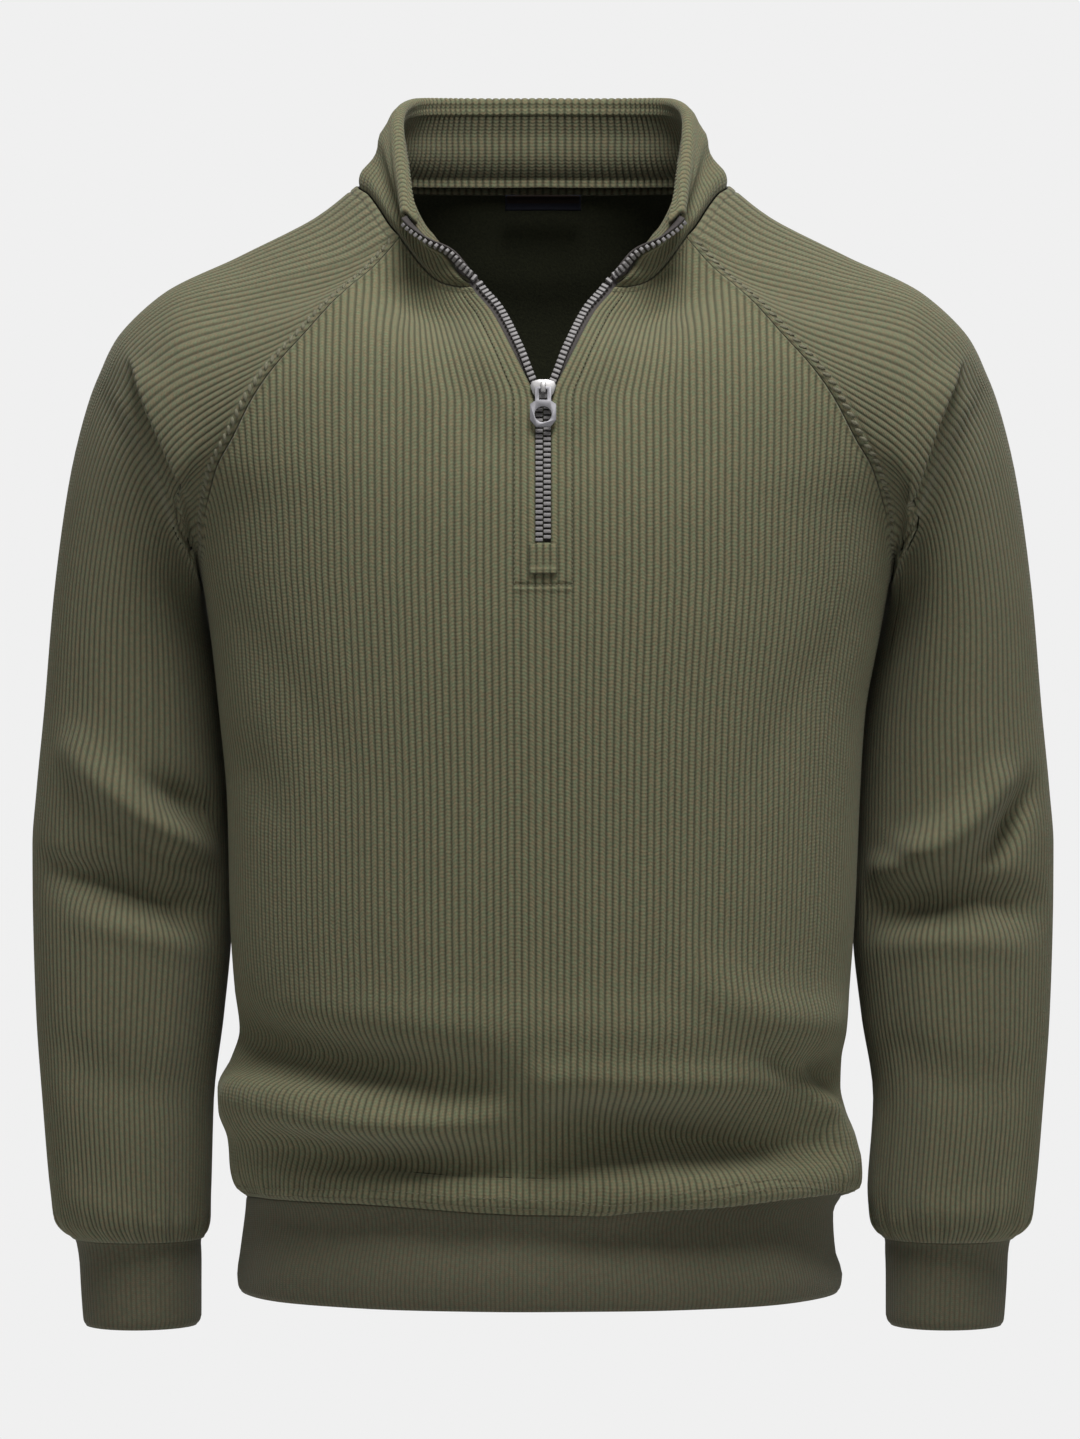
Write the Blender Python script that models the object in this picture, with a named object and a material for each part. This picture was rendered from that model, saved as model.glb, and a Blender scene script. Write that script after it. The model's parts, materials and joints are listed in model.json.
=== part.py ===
"""Quarter-zip mock neck sweatshirt in ribbed knit, raglan sleeves, filled out as if worn.

Metres, +Z up, the front faces -Y, so the wearer's right is at -X. The origin is the middle of the
neck opening at the height of the shoulder points, where the wearer's neck carries the garment.
"""
import math

import bmesh
import bpy
import numpy as np
from mathutils import Euler, Vector

# ---------------------------------------------------------------- cloth and rib
WALL = 0.0022                # knit from the middle of a rib to the plain inside
RIB_RISE = 0.0006            # crest above, and groove below, the middle of the rib
SEAM_GAP = 0.0003
LABEL_CLEAR = 0.0016         # the label hangs this far off the flat facets of the back's inside
BAND_WALL = 0.0026           # waistband and cuffs, a closer knit folded double

# ---------------------------------------------------------------- heights that pieces share
UNDERARM_Z = -0.2380
HEM_SEAM_Z = -0.6055
HEM_Z = -0.6615
CUFF_SEAM_Z = -0.6336
CUFF_END_Z = -0.6865
SLIT_END_Z = -0.2199
SLIDER_Z = -0.1318
SQUARENESS = 2.3             # of the body's sections, 2 would be an ellipse
SLIT_EDGE = 0.0045           # cloth edge from the middle of the closed zip
SLIT_SPREAD = 0.085          # cloth this far from the middle stays put where the zip is open


class Table:
    """Design values in named columns, read smoothly between its rows by the first column."""

    def __init__(self, columns, rows):
        self.columns = dict(zip(columns, np.array(rows, dtype=float).T))
        self.keys = self.columns[columns[0]]

    def at(self, column, key):
        """The column's value at one key or an array of keys, without overshoot between rows."""
        keys, values = self.keys, self.columns[column]
        steps = np.diff(keys)
        slopes = np.diff(values) / steps
        product = slopes[:-1] * slopes[1:]
        total = slopes[:-1] + slopes[1:]
        inner = np.where(product > 0, 2 * product / np.where(total == 0, 1, total), 0.0)
        tangents = np.concatenate((slopes[:1], inner, slopes[-1:]))
        key = np.clip(np.asarray(key, dtype=float), keys[0], keys[-1])
        k = np.clip(np.searchsorted(keys, key, side="right") - 1, 0, len(steps) - 1)
        t = (key - keys[k]) / steps[k]
        return ((2 * t**3 - 3 * t**2 + 1) * values[k] + (t**3 - 2 * t**2 + t) * steps[k] * tangents[k]
                + (3 * t**2 - 2 * t**3) * values[k + 1] + (t**3 - t**2) * steps[k] * tangents[k + 1])


# The body's horizontal sections: half widths to the wearer's right and left, depths to the front
# and back. Above the underarm they go on as the form that the yoke and shoulders follow.
TORSO = Table(("z", "right", "left", "front", "back"), (
    (-0.6630, 0.1812, 0.1778, 0.1255, 0.1180),
    (-0.6520, 0.1824, 0.1794, 0.1262, 0.1185),
    (-0.6380, 0.1806, 0.1752, 0.1268, 0.1190),
    (-0.6160, 0.1780, 0.1738, 0.1275, 0.1195),
    (-0.6055, 0.1776, 0.1790, 0.1285, 0.1200),
    (-0.5990, 0.1830, 0.1890, 0.1360, 0.1265),
    (-0.5860, 0.1866, 0.1896, 0.1415, 0.1310),
    (-0.5700, 0.1885, 0.1868, 0.1420, 0.1320),
    (-0.5540, 0.1938, 0.1806, 0.1425, 0.1315),
    (-0.5400, 0.1942, 0.1776, 0.1435, 0.1305),
    (-0.5230, 0.1862, 0.1782, 0.1450, 0.1290),
    (-0.5060, 0.1812, 0.1812, 0.1470, 0.1275),
    (-0.4800, 0.1842, 0.1830, 0.1490, 0.1255),
    (-0.4400, 0.1868, 0.1860, 0.1500, 0.1230),
    (-0.3700, 0.1885, 0.1890, 0.1505, 0.1225),
    (-0.3200, 0.1930, 0.1920, 0.1515, 0.1250),
    (-0.2700, 0.1985, 0.2010, 0.1520, 0.1295),
    (-0.2380, 0.2035, 0.2070, 0.1510, 0.1320),
    (-0.2000, 0.2130, 0.2160, 0.1478, 0.1325),
    (-0.1650, 0.2350, 0.2360, 0.1403, 0.1305),
    (-0.1200, 0.2520, 0.2520, 0.1265, 0.1255),
    (-0.0800, 0.2380, 0.2380, 0.1040, 0.1175),
    (-0.0630, 0.2170, 0.2170, 0.0912, 0.1125),
    (-0.0330, 0.1600, 0.1600, 0.0655, 0.1010),
    (-0.0060, 0.1200, 0.1200, 0.0410, 0.0905),
    (0.0000, 0.1100, 0.1100, 0.0350, 0.0885),
    (0.0100, 0.0990, 0.0990, 0.0300, 0.0830),
))

# The waistband's seam rises and dips round the front.
HEM_WAVE = Table(("across", "rise"), (
    (-0.240, 0.0000), (-0.190, 0.0030), (-0.110, 0.0045), (0.000, 0.0000), (0.030, 0.0000),
    (0.080, 0.0085), (0.130, 0.0118), (0.190, 0.0060), (0.240, 0.0000)))
WAVE_FADE = 0.070            # the wave dies out this far above the seam

# Where the raglan seams cross each height, as the angle round the section from the centre line.
RAGLAN_FRONT = Table(("z", "angle"), (
    (-0.2380, 90.0), (-0.2300, 81.0), (-0.2180, 73.5), (-0.2020, 68.0), (-0.1800, 56.5),
    (-0.1570, 46.3), (-0.1380, 40.5), (-0.1160, 35.1), (-0.0900, 30.0), (-0.0700, 27.6),
    (-0.0360, 27.4)))
RAGLAN_BACK = Table(("z", "angle"), (
    (-0.2380, 90.0), (-0.2290, 80.0), (-0.2100, 70.0), (-0.1800, 55.0), (-0.1400, 41.5),
    (-0.1000, 34.5), (-0.0600, 34.0), (-0.0330, 41.0), (-0.0150, 47.0), (0.0020, 54.2)))

# The neck seam: across the front, over the shoulders, and across the back.
NECK_FRONT = Table(("x", "z"), (
    (0.000, -0.0668), (0.030, -0.0665), (0.042, -0.0655), (0.050, -0.0632), (0.062, -0.0575),
    (0.0715, -0.0505), (0.0855, -0.0360)))
NECK_SHOULDER = Table(("turn", "angle", "z"), (
    (0.00, 27.4, -0.0360), (0.26, 44.6, -0.0155), (0.39, 60.0, -0.0060), (0.56, 90.0, 0.0000),
    (0.82, 110.0, 0.0015), (1.00, 125.8, 0.0020)))
NECK_BACK = Table(("x", "z"), ((0.000, 0.0035), (0.050, 0.0030), (0.092, 0.0020)))

# How far the cloth's edge has moved off the closed zip's edge, up the open part of the slit.
OPENING = Table(("z", "spread"), (
    (-0.3000, 0.0000), (-0.1390, 0.0000), (-0.1310, 0.0017), (-0.1262, 0.0042), (-0.1050, 0.0150),
    (-0.0807, 0.0273), (-0.0655, 0.0395), (-0.0600, 0.0430)))

# Columns and rows of the walls. A rib is two columns.
FRONT_LOW = (0.0, 0.022, 0.055, 0.10, 0.145, 0.19, 0.25, 0.38, 0.66, 1.0)
FRONT_HIGH = (0.28, 0.54, 0.67, 0.80, 0.91, 1.0)
BACK_LOW = (0.0, 0.022, 0.06, 0.11, 0.17, 0.24, 0.36, 0.64, 1.0)
BACK_HIGH = (0.32, 0.62, 0.86, 1.0)
NECK_PANEL_RIBS = 6          # slit edge, or centre back, to the neck end of the raglan seam
RAGLAN_RIBS = 14             # along one raglan seam
SHOULDER_RIBS = 6            # along the sleeve's own piece of the neck seam
RAGLAN_FACETS = 9            # columns of the plain inside along the same three edges
NECK_FACETS = 4
SHOULDER_FACETS = 6

# The sleeve's rings, from the raglan seam to the cuff: its outer and inner edge as seen from the
# front, how deep it is to the front and back, how far it hangs behind the shoulder line, how far
# the cloth of the ring's middle leans towards the neck, and how much of the seam's own shape is
# left in it, over the shoulder and by the underarm.
SLEEVE = Table(("ring", "outer_x", "outer_z", "inner_right", "inner_left", "inner_z", "front", "back",
                "set_back", "lean", "seam", "seam_low"), (
    (0, 0.1100, 0.0000, 0.2035, 0.2070, -0.2380, 0.1050, 0.1080, 0.000, 0.000, 1.00, 1.00),
    (1, 0.1338, -0.0186, 0.2046, 0.2081, -0.2325, 0.1035, 0.1080, 0.000, 0.000, 0.88, 0.97),
    (2, 0.1800, -0.0420, 0.2064, 0.2099, -0.2325, 0.1000, 0.1050, 0.002, 0.001, 0.50, 0.90),
    (3, 0.2270, -0.0650, 0.2070, 0.2105, -0.2370, 0.0950, 0.0980, 0.004, 0.005, 0.08, 0.80),
    (4, 0.2570, -0.0940, 0.2070, 0.2105, -0.2415, 0.0900, 0.0925, 0.007, 0.009, 0.00, 0.65),
    (5, 0.2660, -0.1120, 0.2066, 0.2101, -0.2455, 0.0860, 0.0890, 0.010, 0.009, 0.00, 0.50),
    (6, 0.2720, -0.1260, 0.2060, 0.2095, -0.2500, 0.0765, 0.0820, 0.014, 0.006, 0.00, 0.36),
    (7, 0.2840, -0.1700, 0.2040, 0.2070, -0.2620, 0.0735, 0.0775, 0.022, 0.002, 0.00, 0.20),
    (8, 0.2950, -0.2450, 0.1985, 0.2006, -0.2850, 0.0720, 0.0745, 0.028, 0.000, 0.00, 0.08),
    (9, 0.3012, -0.3150, 0.1937, 0.1932, -0.3300, 0.0690, 0.0710, 0.030, 0.000, 0.00, 0.00),
    (10, 0.3058, -0.3620, 0.1908, 0.1910, -0.3640, 0.0670, 0.0680, 0.030, 0.000, 0.00, 0.00),
    (11, 0.3084, -0.3960, 0.1898, 0.1899, -0.3960, 0.0655, 0.0655, 0.030, 0.000, 0.00, 0.00),
    (12, 0.3083, -0.4240, 0.1890, 0.1884, -0.4240, 0.0640, 0.0635, 0.030, 0.000, 0.00, 0.00),
    (13, 0.3078, -0.4520, 0.1895, 0.1885, -0.4520, 0.0630, 0.0620, 0.030, 0.000, 0.00, 0.00),
    (14, 0.3060, -0.5000, 0.1939, 0.1935, -0.5000, 0.0590, 0.0580, 0.029, 0.000, 0.00, 0.00),
    (15, 0.3022, -0.5500, 0.1998, 0.2005, -0.5500, 0.0540, 0.0530, 0.027, 0.000, 0.00, 0.00),
    (16, 0.2975, -0.6030, 0.2013, 0.1970, -0.6030, 0.0500, 0.0490, 0.026, 0.000, 0.00, 0.00),
    (17, 0.2940, -0.6220, 0.2024, 0.1990, -0.6220, 0.0478, 0.0468, 0.025, 0.000, 0.00, 0.00),
    (18, 0.2845, CUFF_SEAM_Z, 0.2050, 0.2055, CUFF_SEAM_Z, 0.0400, 0.0390, 0.025, 0.000, 0.00, 0.00),
))
CUFF_SET_BACK = 0.025        # the cuffs hang this far behind the shoulder line
OVAL = 2.15                  # squareness of the sleeve's rings
EVEN_FROM_RING = 7.0         # from this ring on the ribs are evenly spaced

# Cuff sections: outer and inner edge, and half depth.
CUFF = Table(("z", "outer_x", "inner_x", "depth"), (
    (-0.6870, 0.2778, 0.2090, 0.0330), (-0.6800, 0.2786, 0.2072, 0.0345),
    (-0.6600, 0.2800, 0.2072, 0.0350), (-0.6450, 0.2808, 0.2070, 0.0355),
    (CUFF_SEAM_Z, 0.2845, 0.2052, 0.0395)))

# The collar's top edge, from the zip round to the centre back.
COLLAR_TOP = Table(("turn", "x", "y", "z"), (
    (0.000, 0.0845, -0.0860, -0.0250), (0.100, 0.0860, -0.0680, -0.0055),
    (0.205, 0.0868, -0.0490, 0.0140), (0.330, 0.0868, -0.0250, 0.0345),
    (0.455, 0.0855, 0.0000, 0.0480), (0.550, 0.0825, 0.0220, 0.0545),
    (0.652, 0.0765, 0.0420, 0.0585), (0.800, 0.0540, 0.0640, 0.0610),
    (0.900, 0.0280, 0.0740, 0.0620), (1.000, 0.0000, 0.0775, 0.0625)))
COLLAR_BULGE = Table(("height", "out"), (
    (0.0, 0.0), (0.15, 0.0022), (0.35, -0.0008), (0.62, 0.0024), (0.85, 0.0018), (1.0, 0.0)))
COLLAR_ROWS = (0.0, 0.28, 0.62, 0.93)
ROLL_RADIUS = 0.0030
ROLL_RETURN = 0.0080         # how far the outer band comes down again inside
FACING_DEPTH = 0.0074        # from the collar's outer face to the facing's face
COLLAR_GAP = 0.0007          # from the body panels, whose edge it meets at an angle
FACING_LIFT = 0.0022         # the facing ends this far above the neck seam

# Large folds: a soft trough (minus) or ridge (plus) along a bent line seen from the front or back.
FOLD_COLUMNS = ("x0", "z0", "x1", "z1", "x2", "z2", "rise", "reach")
FRONT_FOLDS = (
    (-0.1736, -0.5043, -0.0950, -0.5150, -0.0361, -0.5215, -0.0055, 0.0135),
    (-0.1793, -0.5500, -0.0900, -0.5640, -0.0017, -0.5215, 0.0045, 0.0130),
    (0.0097, -0.5445, 0.0850, -0.5550, 0.1587, -0.5616, -0.0060, 0.0130),
    (0.0327, -0.5788, 0.1100, -0.5830, 0.1788, -0.5846, 0.0050, 0.0130),
    (-0.0720, -0.0860, -0.0640, -0.0840, -0.0560, -0.0850, -0.0040, 0.0140),
    (0.0560, -0.0850, 0.0640, -0.0840, 0.0720, -0.0860, -0.0040, 0.0140),
)
BACK_FOLDS = (
    (-0.1600, -0.5300, -0.0700, -0.5450, 0.0200, -0.5350, -0.0055, 0.0140),
    (-0.0200, -0.5650, 0.0700, -0.5750, 0.1700, -0.5600, 0.0050, 0.0140),
    (-0.1750, -0.4500, -0.1200, -0.4900, -0.0400, -0.5000, -0.0040, 0.0160),
    (0.0300, -0.4950, 0.1100, -0.5050, 0.1720, -0.4850, -0.0045, 0.0160),
)
RIGHT_SLEEVE_FOLDS = (
    (-0.2758, -0.3439, -0.2330, -0.3900, -0.1876, -0.4039, 0.0045, 0.0120),
    (-0.2250, -0.3680, -0.2050, -0.3780, -0.1876, -0.3886, -0.0040, 0.0110),
    (-0.2864, -0.4086, -0.2440, -0.4230, -0.1917, -0.4415, -0.0070, 0.0115),
)
LEFT_SLEEVE_FOLDS = (
    (0.2893, -0.3622, 0.2770, -0.3800, 0.2652, -0.3992, -0.0045, 0.0115),
    (0.1887, -0.4039, 0.2350, -0.4080, 0.2711, -0.3622, 0.0045, 0.0120),
    (0.1858, -0.4368, 0.2400, -0.4180, 0.2893, -0.4321, -0.0070, 0.0115),
)
SLEEVE_BACK_FOLDS = (
    (-0.2900, -0.4150, -0.2450, -0.4000, -0.1950, -0.4050, -0.0050, 0.0130),
    (-0.2850, -0.4500, -0.2450, -0.4420, -0.2000, -0.4480, 0.0040, 0.0130),
)

# ---------------------------------------------------------------- zip
TAPE_FRONT = -0.0025         # the tape's two faces, from the cloth's outer face
TAPE_BACK = -0.0035
TEETH_FRONT = 0.0002
TEETH_BACK = -0.0020
TEETH_WIDTH = 0.0037
TAPE_SHOWN = Table(("z", "shown"), (
    (-0.2300, 0.0004), (-0.1400, 0.0004), (-0.1262, 0.0010), (-0.1050, 0.0030), (-0.0800, 0.0034),
    (0.1000, 0.0034)))

SLIDER_TILT = math.radians(16.0)
PLATE_WIDTH = 0.0150
PLATE_HEIGHT = 0.0115
PLATE_FRONT = (0.0013, 0.0030)      # front plate, out from the cloth's face
PLATE_BACK = (-0.0062, -0.0048)
POST_HALF = 0.0009
BAR_RADIUS = 0.0008
BAR_OUT = 0.0046                    # hinge axis, out from the cloth's face
BAR_UP = -0.0004                    # hinge axis, up from the slider's middle
TAB_WIDTH = 0.0150
TAB_LENGTH = 0.0235
TAB_THICK = 0.0015
TAB_NECK_WIDTH = 0.0092
TAB_HOLE_RADIUS = 0.0049
TAB_HOLE_DOWN = 0.0160


# ---------------------------------------------------------------- shared form
def quarter_sections(half_width, depth, samples=121):
    """Arc length, x and depth along quarter sections from the centre line to the side."""
    turn = np.linspace(0.0, math.pi / 2, samples)
    power = 2.0 / SQUARENESS
    x = half_width[:, None] * np.sin(turn)[None, :] ** power
    y = depth[:, None] * np.clip(np.cos(turn), 0.0, 1.0)[None, :] ** power
    steps = np.hypot(np.diff(x, axis=1), np.diff(y, axis=1))
    arc = np.concatenate((np.zeros((len(x), 1)), np.cumsum(steps, axis=1)), axis=1)
    return arc, x, y


def read_rows(arc, values, target):
    """For each row, the value at the target arc length."""
    k = np.clip((arc <= target[:, None]).sum(axis=1) - 1, 0, arc.shape[1] - 2)
    rows = np.arange(len(arc))
    low, high = arc[rows, k], arc[rows, k + 1]
    t = np.clip((target - low) / (high - low), 0.0, 1.0)
    return values[rows, k] + t * (values[rows, k + 1] - values[rows, k])


def half_width(side, z):
    """Half width on the wearer's right (side -1) or left (side +1)."""
    return np.where(side < 0, TORSO.at("right", z), TORSO.at("left", z))


def form_normal(x, y, z, depth_name):
    """Outward direction of the body's form at points that lie on it."""
    side = np.sign(x)
    step = 0.0015
    a, b = half_width(side, z), TORSO.at(depth_name, z)
    da = (half_width(side, z + step) - half_width(side, z - step)) / (2 * step)
    db = (TORSO.at(depth_name, z + step) - TORSO.at(depth_name, z - step)) / (2 * step)
    u, v = np.abs(x) / a, np.abs(y) / b
    normal = np.stack((np.sign(x) * u ** (SQUARENESS - 1) / a, np.sign(y) * v ** (SQUARENESS - 1) / b,
                       -(u ** SQUARENESS) * da / a - (v ** SQUARENESS) * db / b), axis=-1)
    return normal / np.linalg.norm(normal, axis=-1, keepdims=True)


def hem_rise(x, z):
    """How far the hem seam's wave lifts the cloth at this height."""
    above = np.clip((z - HEM_SEAM_Z) / WAVE_FADE, 0.0, 1.0)
    below = np.clip((z - HEM_Z) / (HEM_SEAM_Z - HEM_Z), 0.0, 1.0)
    return HEM_WAVE.at("rise", x) * below * (1 - above) ** 2


def hem_height(shares, front):
    """Height of the hem seam, straight between the waistband's columns so both edges agree."""
    if not front:
        return np.full_like(shares, HEM_SEAM_Z)
    knots = panel_shares(True)[0][panel_inside(True)]
    girth = reach(np.sign(knots), np.full_like(knots, HEM_SEAM_Z), "front")
    return HEM_SEAM_Z + np.interp(shares, knots, HEM_WAVE.at("rise", knots * girth))


def reach(side, z, depth_name):
    """Arc length from the centre line to the side seam, held at its underarm value above it."""
    z = np.minimum(z, UNDERARM_Z)
    arc, _, _ = quarter_sections(half_width(side, z), TORSO.at(depth_name, z))
    return arc[:, -1]


def panel_point(share, z, front):
    """Point and outward direction on a body panel.

    share runs from -1 at the wearer's right side seam to +1 at the left one. It is a share of the
    panel's half girth, so a line of equal share is one wale of the knit.
    """
    share, z = np.broadcast_arrays(np.asarray(share, float), np.asarray(z, float))
    shape = share.shape
    share, z = share.ravel(), z.ravel()
    depth_name = "front" if front else "back"
    side = np.where(share < 0, -1.0, 1.0)
    distance = np.abs(share) * reach(side, z, depth_name)
    if front:
        spread = OPENING.at("spread", z)
        distance = distance + spread * np.clip(1 - distance / SLIT_SPREAD, 0.0, 1.0)
    form_z = z - hem_rise(side * distance, z) if front else z
    arc, xs, ys = quarter_sections(half_width(side, form_z), TORSO.at(depth_name, form_z))
    distance = np.minimum(distance, arc[:, -1])
    x = side * read_rows(arc, xs, distance)
    y = read_rows(arc, ys, distance) * (-1.0 if front else 1.0)
    normal = form_normal(x, y, form_z, depth_name)
    point = np.stack((x, y, z), axis=-1)
    point = point + normal * fold_rise(point, FRONT_FOLDS if front else BACK_FOLDS)[:, None]
    return point.reshape(shape + (3,)), normal.reshape(shape + (3,))


def fold_rise(points, folds):
    """Sum of the soft troughs and ridges at points seen from the front or back."""
    total = np.zeros(len(points))
    line = np.linspace(0.0, 1.0, 25)
    for values in folds:
        fold = dict(zip(FOLD_COLUMNS, values))
        weights = ((1 - line) ** 2, 2 * line * (1 - line), line ** 2)
        px = weights[0] * fold["x0"] + weights[1] * fold["x1"] + weights[2] * fold["x2"]
        pz = weights[0] * fold["z0"] + weights[1] * fold["z1"] + weights[2] * fold["z2"]
        fade = np.sin(math.pi * (0.12 + 0.76 * line)) ** 0.7
        gap = np.hypot(points[:, None, 0] - px[None, :], points[:, None, 2] - pz[None, :])
        total += fold["rise"] * (fade[None, :] * np.exp(-(gap / fold["reach"]) ** 2)).max(axis=1)
    return total


def raglan_height(shares, side, front):
    """Height where each wale between the neck and the side seam ends at the raglan seam."""
    table = RAGLAN_FRONT if front else RAGLAN_BACK
    depth_name = "front" if front else "back"
    z = np.linspace(table.keys[0], table.keys[-1], 240)
    sides = np.full_like(z, side)
    arc, xs, _ = quarter_sections(half_width(sides, z), TORSO.at(depth_name, z))
    angle = np.radians(table.at("angle", z))
    x = half_width(sides, z) * np.sin(angle) ** (2.0 / SQUARENESS)
    distance = np.array([np.interp(value, *row) for value, row in zip(x, zip(xs, arc))])
    share = distance / reach(sides[:1], z[:1], depth_name)[0]
    order = np.argsort(share)
    return np.interp(shares, share[order], z[order]), share.min()


def panel_columns(side, front):
    """Shares of a panel's wales from the middle to the side seam, and the height where each ends."""
    _, corner = raglan_height(np.array([0.5]), side, front)
    depth_name = "front" if front else "back"
    half_girth = reach(np.array([side]), np.array([UNDERARM_Z]), depth_name)[0]
    if front:
        corner_distance = corner * half_girth
        spread = OPENING.at("spread", -0.0360)
        if corner_distance < SLIT_SPREAD:
            corner_distance = (corner_distance - spread) / (1 - spread / SLIT_SPREAD)
        first = SLIT_EDGE / half_girth
        corner = corner_distance / half_girth
    else:
        first = 0.0
    inner = np.linspace(first, corner, 2 * NECK_PANEL_RIBS + 1)
    outer = np.linspace(corner, 1.0, 2 * RAGLAN_RIBS + 1)[1:]
    heights = neck_height(inner * half_girth, front)
    seam, _ = raglan_height(outer, side, front)
    return np.concatenate((inner, outer)) * side, np.concatenate((heights, seam))


def neck_height(distance, front):
    """Height of the neck seam for wales this far from the centre line."""
    if not front:
        return NECK_BACK.at("z", distance)
    spread = OPENING.at("spread", -0.0655)
    moved = distance + spread * np.clip(1 - distance / SLIT_SPREAD, 0.0, 1.0)
    return NECK_FRONT.at("z", moved)


# ---------------------------------------------------------------- mesh tools
def collection(name):
    """A collection linked to the scene."""
    group = bpy.data.collections.new(name)
    bpy.context.scene.collection.children.link(group)
    return group


def material(name, colour, roughness, metallic=0.0):
    """A plain Principled material."""
    made = bpy.data.materials.new(name)
    made.use_nodes = True
    shader = made.node_tree.nodes["Principled BSDF"]
    shader.inputs["Base Color"].default_value = (*colour, 1.0)
    shader.inputs["Roughness"].default_value = roughness
    shader.inputs["Metallic"].default_value = metallic
    return made


def add_object(name, mesh, group, finish, smooth=True):
    """An object with its material, shaded smooth but for sharp edges."""
    if smooth:
        mesh.shade_smooth()
        mesh.set_sharp_from_angle(angle=math.radians(45))
    placed = bpy.data.objects.new(name, mesh)
    placed.data.materials.append(finish)
    group.objects.link(placed)
    return placed


def stitch(form, first, second, first_at, second_at):
    """Triangles between two edges whose points lie at different places along them.

    A tie goes to the higher point, so the two walls at a seam split it alike whichever way they run.
    """
    i = j = 0
    while i < len(first) - 1 or j < len(second) - 1:
        next_first = first_at[i] + first_at[i + 1] if i < len(first) - 1 else math.inf
        next_second = second_at[j] + second_at[j + 1] if j < len(second) - 1 else math.inf
        falls = j < len(second) - 1 and second[j].co.z > second[j + 1].co.z
        if next_first < next_second or (next_first == next_second and falls):
            form.faces.new((first[i], first[i + 1], second[j]))
            i += 1
        else:
            form.faces.new((first[i], second[j + 1], second[j]))
            j += 1


def skin(form, grid, closed, skipped):
    """Faces over a grid of vertices, row by row."""
    rows, columns = len(grid), len(grid[0])
    for i in range(rows - 1):
        for j in range(columns if closed else columns - 1):
            k = (j + 1) % columns
            if not skipped(i, j):
                form.faces.new((grid[i][j], grid[i][k], grid[i + 1][k], grid[i + 1][j]))


def wall_mesh(name, base, normals, rise, inside, closed=False, slit=None, thickness=WALL):
    """A cloth wall: ribbed outer points over a plain inside with fewer columns.

    base and normals are rows of columns, rise is each column's height above the base, and inside
    lists the columns that the plain face keeps. slit is (row, left column, right column).
    """
    outer_points = base + normals * np.asarray(rise)[None, :, None]
    inner_points = (base - normals * thickness)[:, inside]
    form = bmesh.new()
    outer = [[form.verts.new(point) for point in row] for row in outer_points]
    inner = [[form.verts.new(point) for point in row] for row in inner_points]
    inside = list(inside)
    row, left, right = slit if slit else (len(base), -1, -1)
    skin(form, outer, closed, lambda i, j: i >= row and left <= j < right)
    if slit:
        left_in, right_in = inside.index(left), inside.index(right)
        skin(form, inner, closed, lambda i, j: i >= row and left_in <= j < right_in)
    else:
        skin(form, inner, closed, lambda i, j: False)
    columns = list(range(len(outer[0])))
    if closed:
        for edge in (0, -1):
            stitch(form, outer[edge] + outer[edge][:1], inner[edge] + inner[edge][:1],
                   columns + [len(columns)], inside + [len(columns)])
    else:
        stitch(form, outer[0], inner[0], columns, inside)
        if slit:
            stitch(form, outer[-1][:left + 1], inner[-1][:left_in + 1], columns[:left + 1],
                   inside[:left_in + 1])
            stitch(form, outer[-1][right:], inner[-1][right_in:], columns[right:], inside[right_in:])
            stitch(form, outer[row][left:right + 1], inner[row][left_in:right_in + 1],
                   columns[left:right + 1], inside[left_in:right_in + 1])
            for column, column_in in ((left, left_in), (right, right_in)):
                for i in range(row, len(outer) - 1):
                    form.faces.new((outer[i][column], outer[i + 1][column],
                                    inner[i + 1][column_in], inner[i][column_in]))
        else:
            stitch(form, outer[-1], inner[-1], columns, inside)
        for i in range(len(outer) - 1):
            form.faces.new((outer[i][0], outer[i + 1][0], inner[i + 1][0], inner[i][0]))
            form.faces.new((outer[i][-1], outer[i + 1][-1], inner[i + 1][-1], inner[i][-1]))
    loose = [vertex for vertex in form.verts if not vertex.link_faces]
    bmesh.ops.delete(form, geom=loose, context="VERTS")
    bmesh.ops.recalc_face_normals(form, faces=form.faces)
    mesh = bpy.data.meshes.new(name)
    form.to_mesh(mesh)
    form.free()
    return mesh


def grid_normals(grid, closed):
    """Directions across a grid of points, by its neighbours."""
    along = np.gradient(grid, axis=0)
    if closed:
        across = np.roll(grid, -1, axis=1) - np.roll(grid, 1, axis=1)
    else:
        across = np.gradient(grid, axis=1)
    normal = np.cross(along, across)
    return normal / np.linalg.norm(normal, axis=-1, keepdims=True)


def rib_rise(columns):
    """Groove, crest, groove, and so on."""
    return [RIB_RISE if column % 2 else -RIB_RISE for column in range(columns)]


def spaced(last, count):
    """Whole column numbers from 0 to last, about evenly spaced."""
    return [round(last * k / count) for k in range(count + 1)]


# ---------------------------------------------------------------- body
def panel_shares(front):
    """Shares of all of a panel's wales from side to side, and the height where each ends."""
    right_shares, right_tops = panel_columns(-1.0, front)
    left_shares, left_tops = panel_columns(1.0, front)
    if front:
        return (np.concatenate((right_shares[::-1], [0.0], left_shares)),
                np.concatenate((right_tops[::-1], [NECK_FRONT.at("z", 0.0)], left_tops)))
    return (np.concatenate((right_shares[::-1], left_shares[1:])),
            np.concatenate((right_tops[::-1], left_tops[1:])))


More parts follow.
